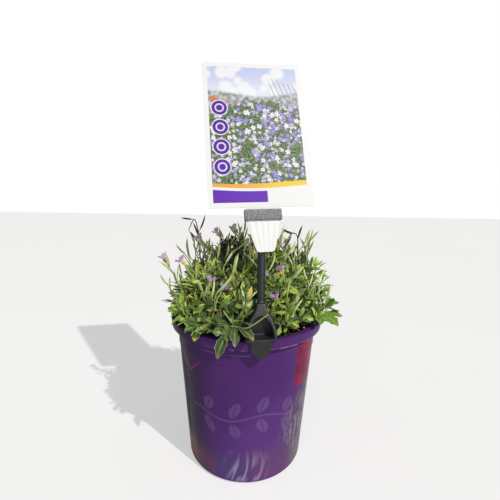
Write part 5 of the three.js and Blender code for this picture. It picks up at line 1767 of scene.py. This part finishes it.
def make_label():
    shells = Shells()
    corner = np.radians(np.linspace(0, 90, LABEL_CORNER_STEPS))
    low = LABEL_BOTTOM + LABEL_CORNER * (1 - np.cos(corner))
    low_half = LABEL_WIDTH / 2 - LABEL_CORNER * (1 - np.sin(corner))
    top = LABEL_BOTTOM + LABEL_LENGTH
    middle = np.linspace(LABEL_BOTTOM + LABEL_MIDDLE_MARGIN, top - LABEL_MIDDLE_MARGIN, LABEL_ROWS)
    high = 2 * LABEL_BOTTOM + LABEL_LENGTH - low[::-1]
    heights = np.concatenate([low, middle, high])
    halves = np.concatenate([low_half, np.full(LABEL_ROWS, LABEL_WIDTH / 2), low_half[::-1]])
    columns = np.linspace(-1, 1, LABEL_COLUMNS)
    rings, uvs = card_rings(heights, halves, columns, LABEL_THICKNESS, lambda c, w: 0 * c)
    shells.add(rings, 0, uvs, (1, 1, 1, 1))
    tongue_half, tongue_height = np.array(TONGUE_HALF_WIDTHS).T
    heights = np.concatenate([tongue_height[:2], np.linspace(TONGUE_BOTTOM + 2, TONGUE_TOP, TONGUE_ROWS)])
    halves = np.interp(heights, tongue_height, tongue_half)

    def flutes(c, w):
        fade = max(0, min(1, (COLLAR_LOW + TONGUE_FLUTE_FADE - w) / TONGUE_FLUTE_FADE))
        return TONGUE_FLUTE_DEPTH * fade * (np.abs(np.cos(c * math.pi * TONGUE_FLUTES / 2)) - 0.4)

    columns = np.linspace(-1, 1, TONGUE_COLUMNS)
    rings, uvs = card_rings(heights, halves, columns, LABEL_THICKNESS - TONGUE_THINNER, flutes)
    shells.add(rings, 1, uvs, (1, 1, 1, 1))
    back = Graph("label white", Roughness=0.4)
    back.ground(back.noise(60), (226, 226, 223), (234, 234, 232))
    label = shells.object("picture_label", [label_material(), back.painted()], 30)
    for face in label.data.polygons:
        if face.normal @ Vector(HEAD_FRAME[:3, 1]) > -0.5:
            face.material_index = 1
    adopt(label, ["label_card"])


# The plant
def make_plant(stems, looks):
    materials = [leaf_material(), stem_material(), pod_material()]
    bloom_materials = [petal_material(), calyx_material(), stamen_material()]
    for stem in stems:
        shells = Shells()
        add_stem(shells, stem, looks)
        for blade in stem.blades:
            add_leaf(shells, blade, looks)
        for stalk in stem.stalks:
            # Painted shadow on the listed stalks and on stalks that end in a shadowed patch
            named = stem.name in SHADOWED_STALKS and not stalk.get("extra")
            add_stalk(shells, stalk, looks, named or patch_shade(stalk["line"][-2]) == "dark")
        for shoot in stem.shoots:
            line = curve_line(shoot["line"], SHOOT_STEPS)
            tint = at(looks.uniform(0.2, 0.6), 0.15, looks.random(), 0.5)
            radii = np.linspace(*SHOOT_RADII, len(line))
            add_rod(shells, line, radii, 5, 1, tint, safe_reference(line))
            for blade in shoot["blades"]:
                add_leaf(shells, blade, looks)
        adopt(shells.object(stem.name + "_plant", materials), [stem.name])
        blooms = [stalk["bloom"] for stalk in stem.stalks if stalk["bloom"]]
        for number, bloom in enumerate(blooms, 1):
            shells = Shells()
            name = f"bloom_{stem.name}_{number}"
            add_bloom(shells, bloom, looks, name in YELLOW_BLOOMS)
            adopt(shells.object(name + "_petals", bloom_materials), [name])


# The stage: camera, floor and soft light
def make_camera():
    data = give(
        bpy.data.cameras.new("photo camera"),
        sensor_fit="HORIZONTAL",
        sensor_width=SENSOR_MM,
        lens=FOCAL_PX / FRAME_PX * SENSOR_MM,
        shift_x=(FRAME_PX / 2 - PRINCIPAL_PX[0]) / FRAME_PX,
        shift_y=(PRINCIPAL_PX[1] - FRAME_PX / 2) / FRAME_PX,
        clip_start=0.01,
    )
    camera = add_object("photo camera", data)
    upright = Matrix.Rotation(math.pi / 2 - CAMERA_PITCH, 4, "X")
    camera.matrix_world = Matrix.Translation(CAMERA_AT) @ upright @ Matrix.Rotation(CAMERA_ROLL, 4, "Z")
    bpy.context.scene.camera = camera


def make_light(name, kind, place, **settings):
    light = add_object(name, give(bpy.data.lights.new(name, kind), **settings))
    aim = Vector(LIGHT_TARGET) - Vector(place)
    light.matrix_world = Matrix.Translation(place) @ aim.to_track_quat("-Z", "Y").to_matrix().to_4x4()
    return light


def make_floor():
    corners = [(x * FLOOR_REACH, y * FLOOR_REACH, 0) for x, y in ((-1, -1), (1, -1), (1, 1), (-1, 1))]
    mesh = bpy.data.meshes.new("floor")
    mesh.from_pydata(corners, [], [(0, 1, 2, 3)])
    floor = add_object("floor", mesh)
    floor.location.z = -FLOOR_DROP
    g = Graph("pale floor", Roughness=0.9, Specular_IOR_Level=0.1, Emission_Color=(1, 1, 1, 1))
    g.ground(g.noise(3), (186, 186, 186), (192, 192, 192))
    mirrored = g.node("ShaderNodeLightPath", {}, "Is Glossy Ray")
    g.set("Emission Strength", 0.48 - mirrored * 0.42)
    mesh.materials.append(g.painted())


def make_world():
    """Soft light all round, dimmer where it is mirrored and plain white behind the floor."""
    world = bpy.data.worlds.new("studio")
    bpy.context.scene.world = world
    world.use_nodes = True
    nodes, links = world.node_tree.nodes, world.node_tree.links
    path = nodes.new("ShaderNodeLightPath")
    shown = None
    for ray, colour, strength in WORLD_LIGHT:
        background = nodes.new("ShaderNodeBackground") if ray else nodes["Background"]
        background.inputs["Color"].default_value = colour
        background.inputs["Strength"].default_value = strength
        if shown:
            either = nodes.new("ShaderNodeMixShader")
            links.new(path.outputs[ray], either.inputs[0])
            links.new(shown, either.inputs[1])
            links.new(background.outputs[0], either.inputs[2])
            shown = either.outputs[0]
        else:
            shown = background.outputs[0]
    links.new(shown, nodes["World Output"].inputs[0])


def make_stage():
    make_floor()
    make_world()
    make_light("key", "SUN", (0.8, -0.85, 1.25), energy=2.55, angle=math.radians(1), color=(1, 0.97, 0.93))
    fill = make_light("fill", "AREA", (-0.3, -1.2, 0.8), energy=2.4, shape="RECTANGLE", size=0.8, size_y=0.8)
    fill.visible_glossy = False
    bpy.context.scene.view_settings.view_transform = "Standard"


make_camera()
make_stage()
make_pot()
make_soil(random.Random(LOOKS_SEED + 1))
make_clip()
make_label()
make_plant(plan_plant(), random.Random(LOOKS_SEED + 2))

bpy.context.view_layer.update()
